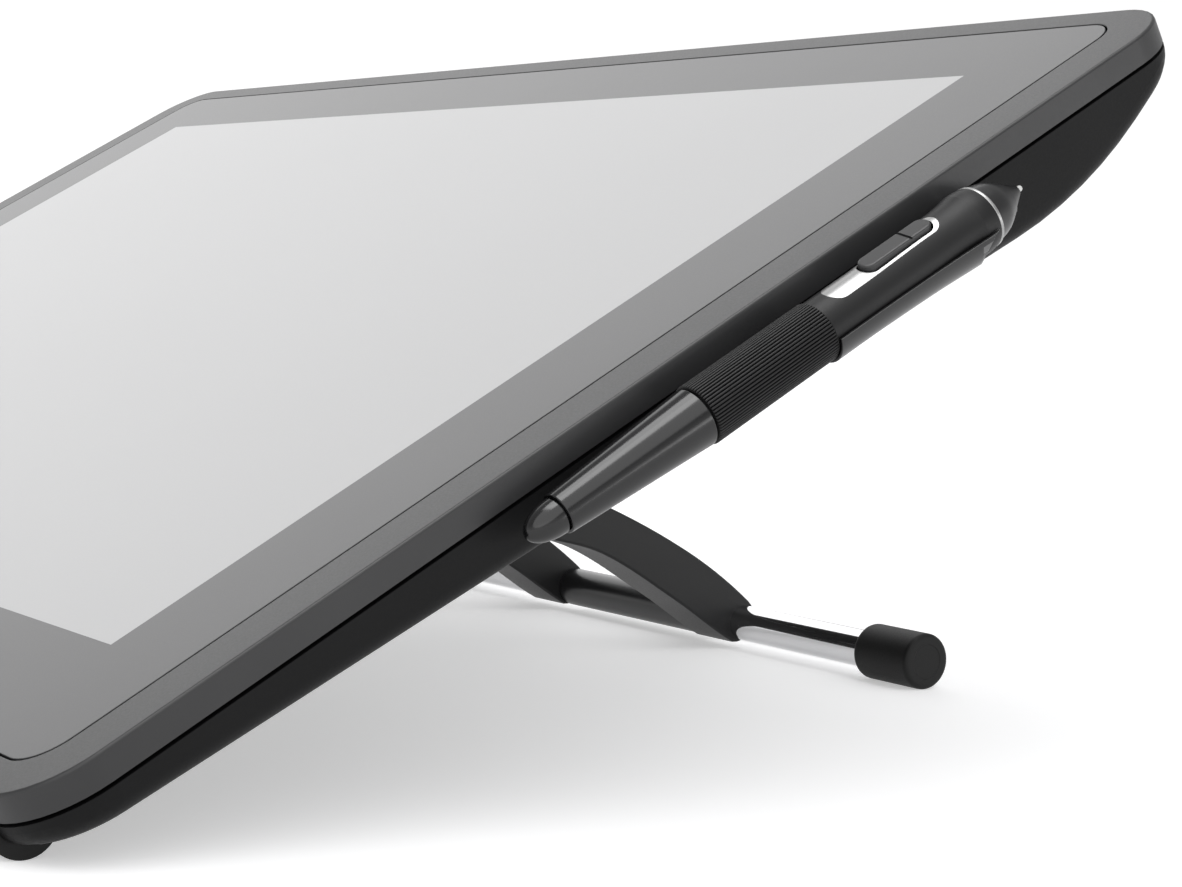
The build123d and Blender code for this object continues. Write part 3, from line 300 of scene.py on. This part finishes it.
frontPlastic = moulded("frontPlastic", tones["frame"], 0.42, 0.0005, 0.000006, specular=0.42)
casePlastic = moulded("casePlastic", tones["case"], 0.5, 0.0007, 0.00003, specular=0.14)
holderPlastic = moulded("holderPlastic", tones["case"], 0.3, 0.0004, 0.000003)
# a lighter grey copy of the holder plastic for its slanted front face: a painted highlight
holderRimHighlight = moulded("holderRimHighlight", (0.10, 0.10, 0.10), 0.3, 0.0004, 0.000002)
borderPrint = moulded("borderPrint", tones["border"], 0.34, 0.0002, 0.000001, 0.05)
# near-black foam of the glass gasket; the bezel's well walls also take it as painted shade
blackFoamAndWellShade = moulded("blackFoamAndWellShade", (0.002, 0.002, 0.002), 0.95, 0.0006, 0.00008, specular=0.1)
liquidCrystal = moulded("liquidCrystal", (0.05, 0.052, 0.058), 0.15, 0.0003, 0.000001)
whiteFilm = moulded("whiteFilm", (0.82, 0.82, 0.80), 0.6, 0.0006, 0.000002, 0.04)
sheetMetal = moulded("sheetMetal", (0.55, 0.56, 0.57), 0.36, 0.0009, 0.000003, 0.08, 1.0)
spreaderMetal = moulded("spreaderMetal", (0.62, 0.62, 0.63), 0.42, 0.0005, 0.000006, 0.06, 1.0)
steelParts = moulded("steelParts", tones["steel"], 0.3, 0.0003, 0.000004, 0.1, 1.0)
nutBrass = moulded("nutBrass", (0.62, 0.44, 0.18), 0.32, 0.0003, 0.000004, 0.1, 1.0)
bushBronze = moulded("bushBronze", (0.44, 0.27, 0.13), 0.4, 0.0003, 0.000006, 0.15, 1.0)
socketPlastic = moulded("socketPlastic", (0.018, 0.018, 0.018), 0.45, 0.0003, 0.000004)
clearPipe = moulded("clearPipe", (0.75, 0.78, 0.80), 0.25, 0.0005, 0.000003, 0.05)
footRubber = moulded("footRubber", tones["rubber"], 0.55, 0.0005, 0.00002, specular=0.22)
standMetal = moulded("standMetal", (0.030, 0.030, 0.031), 0.42, 0.0006, 0.00002, 0.15)
legPaint = moulded("legPaint", tones["leg"], 0.42, 0.0006, 0.00002, specular=0.3)
sleevePlastic = moulded("sleevePlastic", (0.016, 0.016, 0.017), 0.3, 0.0006, 0.000004)
chromeTube = moulded("chromeTube", tones["chrome"], 0.07, 0.0006, 0.0000005, 0.03, 1.0,
                     stretch=((0, 0, 0), (0.05, 1, 1)))
penGrip = moulded("penGrip", tones["grip"], 0.46, 0.0003, 0.000008, specular=0.28)
penNose = moulded("penNose", (0.006, 0.006, 0.0063), 0.3, 0.0002, 0.000002)
penSilver = moulded("penSilver", tones["silver"], 0.36, 0.0002, 0.000002, 0.04, 1.0,
                    stretch=((0.5411, 0, 0), (1, 0.06, 1)))
penSwitch = moulded("penSwitch", (0.022, 0.022, 0.0225), 0.36, 0.0002, 0.000003)
penGloss = moulded("penGloss", tones["gloss"], 0.17, 0.0012, 0.000001, 0.1)
nibPlastic = moulded("nibPlastic", (0.55, 0.55, 0.54), 0.4, 0.0002, 0.000003)


def litScreen(name):
    # the picture area: lit pale panel under etched glass, with a faint etched grain
    material, tree, shader, coords = newMaterial(name)
    slow = noise(tree, coords, 0.12, 2.0)
    etch = noise(tree, coords, 0.00025, 1.0)
    pale = tones["lit"]
    tree.links.new(twoTone(tree, slow, tuple(c * 0.985 for c in pale), pale), shader.inputs["Base Color"])
    tree.links.new(between(tree, etch, 0.32, 0.38), shader.inputs["Roughness"])
    addBump(tree, shader, etch, 0.0000006)
    return material


litPanel = litScreen("litPanel")


def boardLaminate(name):
    # solder mask with a grid of pads and long tracks
    material, tree, shader, coords = newMaterial(name)
    cells = tree.nodes.new("ShaderNodeTexVoronoi")
    cells.inputs["Scale"].default_value = 220
    tree.links.new(coords, cells.inputs["Vector"])
    pads = tree.nodes.new("ShaderNodeValToRGB")
    pads.color_ramp.interpolation = "CONSTANT"
    pads.color_ramp.elements[0].color = (0.55, 0.45, 0.22, 1)
    pads.color_ramp.elements[1].position = 0.12
    pads.color_ramp.elements[1].color = (0.010, 0.060, 0.030, 1)
    tree.links.new(cells.outputs["Distance"], pads.inputs["Fac"])
    tree.links.new(pads.outputs["Color"], shader.inputs["Base Color"])
    tracks = noise(tree, coords, 0.002, 1.0, ((0, 0, 0), (0.1, 1, 1)))
    tree.links.new(between(tree, tracks, 0.28, 0.42), shader.inputs["Roughness"])
    addBump(tree, shader, tracks, 0.00003)
    return material


boardGreen = boardLaminate("boardGreen")
ribbonFilm = moulded("ribbonFilm", (0.35, 0.20, 0.06), 0.35, 0.0006, 0.00002, 0.1,
                     stretch=((0, 0, 0), (1, 0.02, 1)))

nodeFinish = {
    "backlight_tray": sheetMetal, "board_screws": steelParts, "button_board": boardGreen,
    "case_screws": steelParts, "centre_sleeve": sleevePlastic, "chassis_screws": steelParts,
    "cover_glass": borderPrint, "flex_cables": ribbonFilm, "foot_tube": chromeTube,
    "front_feet": footRubber, "front_frame": frontPlastic, "glass_gasket": blackFoamAndWellShade,
    "heat_spreader": spreaderMetal, "hinge_bushes": bushBronze, "hinge_shaft": steelParts,
    "hinge_washers": steelParts, "lcd_panel": liquidCrystal, "led_strip": boardGreen,
    "left_end_cap": footRubber, "left_leg": legPaint, "left_socket_plug": casePlastic,
    "leg_bridge": standMetal, "lever_pin": steelParts, "light_guide": whiteFilm,
    "main_board": boardGreen, "mid_chassis": sheetMetal, "mount_nuts": nutBrass,
    "optical_sheets": whiteFilm, "panel_board": boardGreen, "pen_coil": nutBrass,
    "pen_core": boardGreen, "pen_eraser": penGloss, "pen_front_barrel": penGrip,
    "pen_holder": holderPlastic, "pen_nib": nibPlastic, "pen_nose_cone": penNose,
    "pen_ribbed_sleeve": penGrip, "pen_ring": penSilver, "pen_sensor_board": boardGreen,
    "pen_side_plate": penSilver, "pen_side_switch": penSwitch, "pen_tail": penGloss,
    "port_cover": casePlastic, "power_button": penGloss, "power_jack": socketPlastic,
    "ratchet_wheel": steelParts, "rear_cover": casePlastic, "release_lever": standMetal,
    "right_end_cap": footRubber, "right_leg": legPaint, "sensor_shield": sheetMetal,
    "stand_base": standMetal, "stand_base_screws": steelParts, "status_light_pipe": clearPipe,
    "usb_port": steelParts, "video_port": steelParts,
}
for nodeName, node in nodes.items():
    node.data.materials.clear()
    node.data.materials.append(nodeFinish[nodeName])
print("finishes ready,", len(bpy.data.materials), "materials")

# ---- studio: floor, light and camera

studio = {
    "floorRadius": 14.0,
    "floorTone": (0.80, 0.80, 0.805),
    "floorGlow": 0.42,
    "cameraPlace": (0.73338, -0.35760, 0.11607),
    "cameraTurn": (86.652, -2.548, 56.107),
    "lens": 79.0,
    "roomLight": 1.1,
    "sunStrength": 1.9,
    "sunSoftness": 80.0,
    "sunFrom": (0.85, -0.6, 1.0),
    "sensorWidth": 36.0,
    "nearClip": 0.01,
}


def addFloor():
    bm = bmesh.new()
    bmesh.ops.create_circle(bm, cap_ends=True, segments=96, radius=studio["floorRadius"])
    bmesh.ops.translate(bm, vec=(0, 0, cadBounds[0][2]), verts=bm.verts)
    mesh = bpy.data.meshes.new("floor")
    bm.to_mesh(mesh)
    bm.free()
    floor = bpy.data.objects.new("floor", mesh)
    bpy.context.scene.collection.objects.link(floor)
    paper = moulded("floorPaper", studio["floorTone"], 0.7, 0.002, 0.00001, 0.004, specular=0.2)
    shader = paper.node_tree.nodes["Principled BSDF"]
    shader.inputs["Emission Color"].default_value = (1, 1, 1, 1)
    shader.inputs["Emission Strength"].default_value = studio["floorGlow"]
    mesh.materials.append(paper)


def addBox(name, place, aim, size, glow):
    # glow is how bright the box looks; it shows only in the shine of things and lights nothing else
    light = bpy.data.lights.new(name, "AREA")
    light.shape = "RECTANGLE"
    light.size, light.size_y = size
    light.energy = glow * size[0] * size[1] * pi
    box = bpy.data.objects.new(name, light)
    box.location = place
    box.rotation_euler = (Vector(aim) - Vector(place)).to_track_quat("-Z", "Y").to_euler()
    box.visible_camera = False
    box.visible_diffuse = False
    bpy.context.scene.collection.objects.link(box)


def addSun():
    light = bpy.data.lights.new("softSun", "SUN")
    light.energy = studio["sunStrength"]
    light.angle = radians(studio["sunSoftness"])
    sun = bpy.data.objects.new("softSun", light)
    sun.rotation_euler = (-Vector(studio["sunFrom"])).to_track_quat("-Z", "Y").to_euler()
    bpy.context.scene.collection.objects.link(sun)


def addWorld():
    world = bpy.data.worlds.new("studioRoom")
    bpy.context.scene.world = world
    world.use_nodes = True
    tree = world.node_tree
    background = tree.nodes["Background"]
    coords = tree.nodes.new("ShaderNodeTexCoord")
    split = tree.nodes.new("ShaderNodeSeparateXYZ")
    ramp = tree.nodes.new("ShaderNodeValToRGB")
    tree.links.new(coords.outputs["Generated"], split.inputs["Vector"])
    tree.links.new(split.outputs["Z"], ramp.inputs["Fac"])
    ramp.color_ramp.elements[0].position = 0.06
    ramp.color_ramp.elements[0].color = (1, 1, 1, 1)
    ramp.color_ramp.elements[1].position = 0.4
    ramp.color_ramp.elements[1].color = (0.5, 0.5, 0.505, 1)
    tree.links.new(ramp.outputs["Color"], background.inputs["Color"])
    background.inputs["Strength"].default_value = studio["roomLight"]


def addCamera():
    lens = bpy.data.cameras.new("studioCamera")
    lens.lens = studio["lens"]
    lens.sensor_width = studio["sensorWidth"]
    lens.clip_start = studio["nearClip"]
    camera = bpy.data.objects.new("studioCamera", lens)
    camera.location = studio["cameraPlace"]
    camera.rotation_euler = Euler([radians(a) for a in studio["cameraTurn"]], "XYZ")
    bpy.context.scene.collection.objects.link(camera)
    bpy.context.scene.camera = camera


addFloor()
addSun()
addBox("overheadBox", (0.3, -0.1, 1.3), (0.28, 0, 0.1), (0.8, 0.8), 5.0)
addBox("leftBox", (-1.4, 0.4, 1.0), (0, 0, 0.1), (1.7, 1.5), 1.2)
addBox("lowBox", (1.5, 0.95, 0.2), (0.28, 0, 0.08), (0.9, 0.3), 3.0)
addWorld()
addCamera()
bpy.context.scene.view_settings.view_transform = "Standard"
print("studio ready")

# ---- screen glass: black printed border round the lit picture

screen = {"width": 540.0, "height": 330.0, "corner": 10.0, "middleV": -4.3, "thickness": 1.1, "edge": 0.22,
          "rimAngle": 80, "pictureWidth": 476.0, "pictureHeight": 268.0, "gap": 0.5}
glassMiddle = middleOf("cover_glass") + outOfScreen * screen["thickness"] / 2000
tabletOrigin = glassMiddle - upScreen * screen["middleV"] / 1000
onTablet = placeAt(right, upScreen, outOfScreen, tabletOrigin)


def buildGlass():
    bm = roundedSheet(screen["width"], screen["height"], screen["corner"], screen["middleV"], 0)
    raised(bm, (0, 0, -screen["thickness"]))
    rim = [e for e in bm.edges if e.calc_face_angle(0) > radians(screen["rimAngle"])
           and min(v.co.z for v in e.verts) > frontLevel]
    bevelled(bm, rim, screen["edge"], 2)
    halfWidth, halfHeight = screen["pictureWidth"] / 2, screen["pictureHeight"] / 2
    for axis, reach in ((0, halfWidth), (1, halfHeight)):
        for side in (-1, 1):
            normal = [0, 0, 0]
            normal[axis] = side
            spot = [0, 0, 0]
            spot[axis] = side * reach
            whole = bm.verts[:] + bm.edges[:] + bm.faces[:]
            bmesh.ops.bisect_plane(bm, geom=whole, plane_co=spot, plane_no=normal)
    for face in bm.faces:
        spot = face.calc_center_median()
        inside = abs(spot.x) < halfWidth and abs(spot.y) < halfHeight
        face.material_index = 1 if inside and spot.z > frontLevel else 0
    addPiece(bm, "screenGlass", onTablet, "tablet", ["cover_glass"], [borderPrint, litPanel])


buildGlass()
print("glass ready")

# ---- front frame: one moulding round the glass

# below the last level, the bezel's walls in the glass well are painted near-black as shade
bezel = {"width": 569.2, "height": 349.4, "corner": 20.0, "middleV": -5.3, "depth": 6.7, "arris": 0.8,
         "wall": 2.0, "seat": 1.5, "ledge": 3.0, "opening": (522.0, 312.0, 4.0), "lip": 0.25,
         "wellMargin": 0.1, "wellShadeLevel": -0.3}


def buildBezel():
    # a ring's outline is its width, height, corner and middle
    gap, wall = screen["gap"], bezel["wall"]
    outer = (bezel["width"], bezel["height"], bezel["corner"], bezel["middleV"])
    inner = (outer[0] - 2 * wall, outer[1] - 2 * wall, outer[2] - wall, bezel["middleV"])
    well = (screen["width"] + 2 * gap, screen["height"] + 2 * gap, screen["corner"] + gap, screen["middleV"])
    opening = (*bezel["opening"], screen["middleV"])
    rings = [(outer, 0), (outer, -bezel["depth"]), (inner, -bezel["depth"]), (inner, -bezel["ledge"]),
             (opening, -bezel["ledge"]), (opening, -bezel["seat"]), (well, -bezel["seat"]), (well, 0)]
    loops = []
    for outline, level in rings:
        loop = roundedSheet(*outline, level)
        bmesh.ops.delete(loop, geom=loop.faces[:], context="FACES_ONLY")
        loops.append(loop)
    perRing = len(loops[0].verts)
    bm = merged(bmesh.new(), *loops)
    bm.verts.index_update()
    bm.verts.ensure_lookup_table()
    ringPairs = [[v.index for v in e.verts] for e in bm.edges if max(v.index for v in e.verts) < perRing]
    for i in range(len(rings)):
        here, there = i * perRing, (i + 1) % len(rings) * perRing
        for a, b in ringPairs:
            bm.faces.new([bm.verts[k] for k in (here + a, here + b, there + b, there + a)])
    bmesh.ops.recalc_face_normals(bm, faces=bm.faces)
    wellWidth, wellHeight = well[0] / 2 + bezel["wellMargin"], well[1] / 2 + bezel["wellMargin"]

    def inWell(spot):
        return abs(spot.x) < wellWidth and abs(spot.y - screen["middleV"]) < wellHeight

    def frontEdges(wanted):
        return [e for e in sharpEdges(bm, cornerAngle) if max(v.co.z for v in e.verts) > frontLevel
                and all(inWell(v.co) for v in e.verts) == wanted]

    bevelled(bm, frontEdges(False), bezel["arris"], 4)
    bevelled(bm, frontEdges(True), bezel["lip"], 3)
    # faces in the glass well below the level take the near-black foam finish: painted shade on the bezel's
    # own walls in the narrow gap; only the gasket under the glass is real foam
    for face in bm.faces:
        spot = face.calc_center_median()
        face.material_index = 1 if inWell(spot) and spot.z < bezel["wellShadeLevel"] else 0
    finishes = [frontPlastic, blackFoamAndWellShade]
    addPiece(bm, "frontBezel", onTablet, "tablet", ["front_frame"], finishes)


buildBezel()
print("bezel ready")

# ---- stand: two legs on a tube with rubber ends

stand = {"hub": 15.5, "legInner": 40.5, "legThickness": 21.0, "legEdge": 0.9, "back": (112.0, 16.9),
         "crest": (152.0, 14.7), "shoulder": (185.5, 7.4), "toe": (185.0, -7.4), "sole": (100.0, -0.8),
         "arch": [(-2.4, 158.0), (2.2, 124.0)], "archEnd": -0.1, "tube": 5.87, "tubeHalf": 136.0,
         "tubeWall": 1.0, "tubeEdge": 0.2, "sleeve": 6.6, "sleeveEdge": 0.3, "cap": 8.6, "capStart": 128.0,
         "capEnd": 153.0, "capEdge": 1.7, "capMouth": 4.0, "capRim": 3.2, "capSlope": 0.2, "capDish": 0.15}
hingeMiddle = middleOf("hinge_shaft")
tubeMiddle = middleOf("foot_tube")
armWay = (tubeMiddle - hingeMiddle).normalized()
onArm = placeAt(armWay, right.cross(armWay), right, hingeMiddle)
onTube = placeAt(armWay, right, armWay.cross(right), tubeMiddle)


def hubTouch(spot, turn):
    away = atan2(spot[1], spot[0]) + turn * acos(stand["hub"] / hypot(*spot))
    return (stand["hub"] * cos(away), stand["hub"] * sin(away))


def legOutline():
    topTouch = hubTouch(stand["back"], 1)
    lowTouch = hubTouch(stand["sole"], -1)
    way = Vector(stand["back"]) - Vector(topTouch)
    crest = tangentArc(stand["back"], way, stand["crest"], 8)
    way = Vector(crest[-1]) - Vector(crest[-2])
    shoulder = tangentArc(crest[-1], way, stand["shoulder"], 8)
    way = Vector(shoulder[-1]) - Vector(shoulder[-2])
    toe = tangentArc(shoulder[-1], way, stand["toe"], 10)
    under = Vector(lowTouch) - Vector(stand["sole"])
    stations = [stand["sole"][::-1], stand["arch"][1], stand["arch"][0], stand["toe"][::-1]]
    arch = [(s, n) for n, s in smoothRun(stations, (under.y / under.x, stand["archEnd"]))][::-1]
    start, end = atan2(lowTouch[1], lowTouch[0]) + 2 * pi, atan2(topTouch[1], topTouch[0])
    steps = 24
    turns = [start + (end - start) * k / steps for k in range(steps + 1)]
    hub = [(stand["hub"] * cos(turn), stand["hub"] * sin(turn)) for turn in turns]
    return crest + shoulder[1:] + toe[1:] + arch[1:] + hub


def buildLeg(name, side, node):
    bm = startMesh(legOutline(), True)
    bmesh.ops.contextual_create(bm, geom=bm.edges[:])
    bmesh.ops.translate(bm, vec=(0, 0, side * stand["legInner"]), verts=bm.verts)
    raised(bm, (0, 0, side * stand["legThickness"]))
    bevelled(bm, sharpEdges(bm, cornerAngle), stand["legEdge"], 3)
    addPiece(bm, name, onArm, "stand_arms", [node], [legPaint])


def buildTube():
    tube, end, edge = stand["tube"], stand["tubeHalf"], stand["tubeEdge"]
    bore = tube - stand["tubeWall"]
    bm = spun([(bore, -end), (tube, -end, edge), (tube, end, edge), (bore, end)], True)
    addPiece(bm, "footTube", onTube, "stand_arms", ["foot_tube"], [chromeTube])
    sleeve, end, edge = stand["sleeve"], stand["legInner"], stand["sleeveEdge"]
    bm = spun([(tube, -end), (sleeve, -end, edge), (sleeve, end, edge), (tube, end)], True)
    addPiece(bm, "tubeSleeve", onTube, "stand_arms", ["centre_sleeve"], [sleevePlastic])


def buildCap(name, side, node):
    start, end, cap, edge = stand["capStart"], stand["capEnd"], stand["cap"], stand["capEdge"]
    rim, dish = cap - stand["capRim"], end - stand["capDish"]
    points = [(stand["tube"], start + stand["capMouth"]), (stand["tube"], start), (cap, start, edge),
              (cap, end, edge), (rim, end), (rim - stand["capSlope"], dish), (0, dish)]
    points = [(r, side * u, *more) for r, u, *more in points]
    bm = spun(points, corners=6)
    addPiece(bm, name, onTube, "stand_arms", [node], [footRubber])


buildLeg("leftLeg", -1, "left_leg")
buildLeg("rightLeg", 1, "right_leg")
buildTube()
buildCap("leftCap", -1, "left_end_cap")
buildCap("rightCap", 1, "right_end_cap")
print("stand ready")

# ---- pen, drawn along its own axis

pen = {"coilMiddle": 70.0, "nib": 0.75, "nibLength": 20.0, "nibEnd": 92.8, "nibGap": 0.05, "noseStep": 86.2,
       "noseEnd": 91.0, "noseFront": 1.35, "ring": 77.4, "ringHalf": 0.45, "sleeveFront": 24.0,
       "sleeveRear": -13.0, "rib": 7.3, "ribDepth": 0.45, "ribs": 60, "rolled": 0.965, "rollLength": 0.35,
       "bore": 4.6, "tailFront": 7.0, "tailRear": 4.75, "tailBore": 4.1, "tailGap": 0.6, "tailEnd": -53.4,
       "tailTip": -62.5, "dome": 4.2, "stem": 3.8}
onPen = placeAt(right, upScreen, outOfScreen, middleOf("pen_coil") - upScreen * pen["coilMiddle"] / 1000)
barrelStations = [(6.9, 24.0), (6.95, 38.0), (7.4, 57.0), (8.1, 71.0), (8.13, 74.5), (7.85, 76.95)]
barrelLine = smoothRun(barrelStations, (0, None))


def penPiece(name, points, body, replaced, finish, closed=False, steps=96):
    addPiece(spun(points, closed, steps), name, onPen, body, replaced, [finish])


def buildPenEnds():
    nib, step = pen["nib"], pen["noseStep"]
    rear, shoulder = step - pen["nibLength"], pen["nibEnd"] - nib
    nibLine = [(0, rear), (nib, rear), (nib, shoulder)]
    nibLine += [(nib * cos(a * pi / 12), shoulder + nib * sin(a * pi / 12)) for a in range(1, 7)]
    penPiece("penNib", nibLine, "pen_nib", ["pen_nib"], nibPlastic, steps=48)
    low, high = pen["ring"] - pen["ringHalf"], pen["ring"] + pen["ringHalf"]
    hole, end = nib + pen["nibGap"], pen["noseEnd"]
    cone = smoothRun([(7.55, high), (6.55, 82.2), (4.45, step)])
    front = [(4.15, step), (4.1, step + 0.25), (pen["noseFront"], end, 0.25), (hole, end)]
    points = [(hole, high)] + cone + front
    penPiece("penNoseCone", points, "pen", ["pen_nose_cone"], penNose, True)
    points = [(pen["bore"], low), (7.9, low, 0.2), (7.85, high, 0.2), (pen["bore"], high)]
    penPiece("penRing", points, "pen", ["pen_ring"], penSilver, True)


def buildRibs():
    # a toothed circle drawn out along the pen, with its ends rolled in
    toothDepths = (0, 0, 0.12, 0.8, 1, 0.8, 0.12, 0)
    perRib = len(toothDepths)
    rolled, rear = pen["rolled"], pen["sleeveRear"]
    length, roll = pen["sleeveFront"] - rear, pen["rollLength"]
    bm = bmesh.new()
    bmesh.ops.create_circle(bm, segments=pen["ribs"] * perRib, radius=pen["rib"])
    bmesh.ops.rotate(bm, cent=(0, 0, 0), matrix=Matrix.Rotation(-pi / 2, 3, "X"), verts=bm.verts)
    bm.verts.ensure_lookup_table()
    for i, vert in enumerate(bm.verts):
        depth = toothDepths[i % perRib] * pen["ribDepth"]
        vert.co *= (pen["rib"] - depth) / pen["rib"]
        vert.co.y = rear
    stations = [(roll, 1.0), (length - roll, 1.0), (length, rolled), (length, 0.6)]
    bmesh.ops.scale(bm, vec=(rolled, 1, rolled), verts=bm.verts)
    rim = bm.edges[:]
    firstRim = rim[:]
    shrink = rolled
    for along, scale in stations:
        grown = bmesh.ops.extrude_edge_only(bm, edges=rim)["geom"]
        verts = [g for g in grown if isinstance(g, bmesh.types.BMVert)]
        rim = [g for g in grown if isinstance(g, bmesh.types.BMEdge)]
        for vert in verts:
            vert.co.y = rear + along
        bmesh.ops.scale(bm, vec=(scale / shrink, 1, scale / shrink), verts=verts)
        shrink = scale
    grown = bmesh.ops.extrude_edge_only(bm, edges=firstRim)["geom"]
    bmesh.ops.scale(bm, vec=(0.62, 1, 0.62), verts=[g for g in grown if isinstance(g, bmesh.types.BMVert)])
    addPiece(bm, "penRibs", onPen, "pen", ["pen_ribbed_sleeve"], [penGrip])


def buildTail():
    front, end, bore, gap = pen["sleeveRear"], pen["tailEnd"], pen["tailBore"], pen["tailGap"]
    points = [(pen["bore"], front), (6.2, front), (6.2, front - gap), (pen["tailFront"], front - gap, 0.25),
              (pen["tailRear"], end, 0.3), (bore, end), (bore, end + 8)]
    penPiece("penTail", points, "pen", ["pen_tail"], penGloss)
    dome, tip, stem = pen["dome"], pen["tailTip"], pen["stem"]
    start = end - gap
    points = [(0, end + 6), (stem, end + 6), (stem, start)]
    points += [(dome * cos(a * pi / 24), start + (tip - start) * sin(a * pi / 24)) for a in range(12)]
    points += [(0, tip)]
    penPiece("penDome", points, "pen_eraser", ["pen_eraser"], penGloss)


buildPenEnds()
buildRibs()
buildTail()
print("pen ready")

# ---- pen holder: half a trough on a tab

holder = {"gap": 0.35, "wall": 0.75, "start": -12.0, "span": 136.0, "front": 92.9,
          "slant": (0.61, 0.37, -0.70), "tip": 101.0, "tipInside": 8.2, "tipOutside": 8.95,
          "rimAngle": 45, "edge": 0.15, "tabEdge": 0.3,
          "tabLow": 38.0, "tabHigh": 70.0, "tabInner": -19.0, "tabOuter": -3.0, "tabLevel": -9.3,
          "tabThick": 2.4}


def buildHolder():
    gap, wall = holder["gap"], holder["wall"]
    inside = [(r + gap, v) for r, v in barrelLine] + [(holder["tipInside"], holder["tip"])]
    outside = [(r + gap + wall, v) for r, v in barrelLine] + [(holder["tipOutside"], holder["tip"])]
    bm = startMesh(inside + outside[::-1], True)
    bmesh.ops.contextual_create(bm, geom=bm.edges[:])
    start = radians(holder["start"])
    bmesh.ops.rotate(bm, cent=(0, 0, 0), matrix=Matrix.Rotation(-start, 3, "Y"), verts=bm.verts)
    bmesh.ops.spin(bm, geom=bm.verts[:] + bm.edges[:] + bm.faces[:], cent=(0, 0, 0), axis=(0, 1, 0),
                   dvec=(0, 0, 0), angle=radians(holder["span"]), steps=48, use_duplicate=False)
    bmesh.ops.remove_doubles(bm, verts=bm.verts, dist=mergeGap)
    cut = bmesh.ops.bisect_plane(bm, geom=bm.verts[:] + bm.edges[:] + bm.faces[:],
                                 plane_co=(0, holder["front"], 0), plane_no=holder["slant"], clear_outer=True)
    bmesh.ops.holes_fill(bm, edges=[g for g in cut["geom_cut"] if isinstance(g, bmesh.types.BMEdge)], sides=0)
    bmesh.ops.recalc_face_normals(bm, faces=bm.faces)
    bevelled(bm, sharpEdges(bm, holder["rimAngle"]), holder["edge"], 2)
    # the slanted front face takes the lighter grey copy of the same plastic: a painted highlight where light
    # catches the cut
    slant = Vector(holder["slant"]).normalized()
    for face in bm.faces:
        onSlant = face.normal.dot(slant) > 0.8 and face.calc_center_median().y > holder["tabHigh"]
        face.material_index = 1 if onSlant else 0
    inner, outer, low, thick = holder["tabInner"], holder["tabOuter"], holder["tabLow"], holder["tabThick"]
    length = holder["tabHigh"] - low
    tab = bmesh.new()
    bmesh.ops.create_cube(tab, size=1)
    bmesh.ops.scale(tab, vec=(outer - inner, length, thick), verts=tab.verts)
    middle = ((inner + outer) / 2, low + length / 2, holder["tabLevel"] + thick / 2)
    bmesh.ops.translate(tab, vec=middle, verts=tab.verts)
    bevelled(tab, tab.edges[:], holder["tabEdge"], 2)
    finishes = [holderPlastic, holderRimHighlight]
    addPiece(merged(bm, tab), "penHolder", onPen, "pen_holder", ["pen_holder"], finishes)


buildHolder()
print("holder ready")
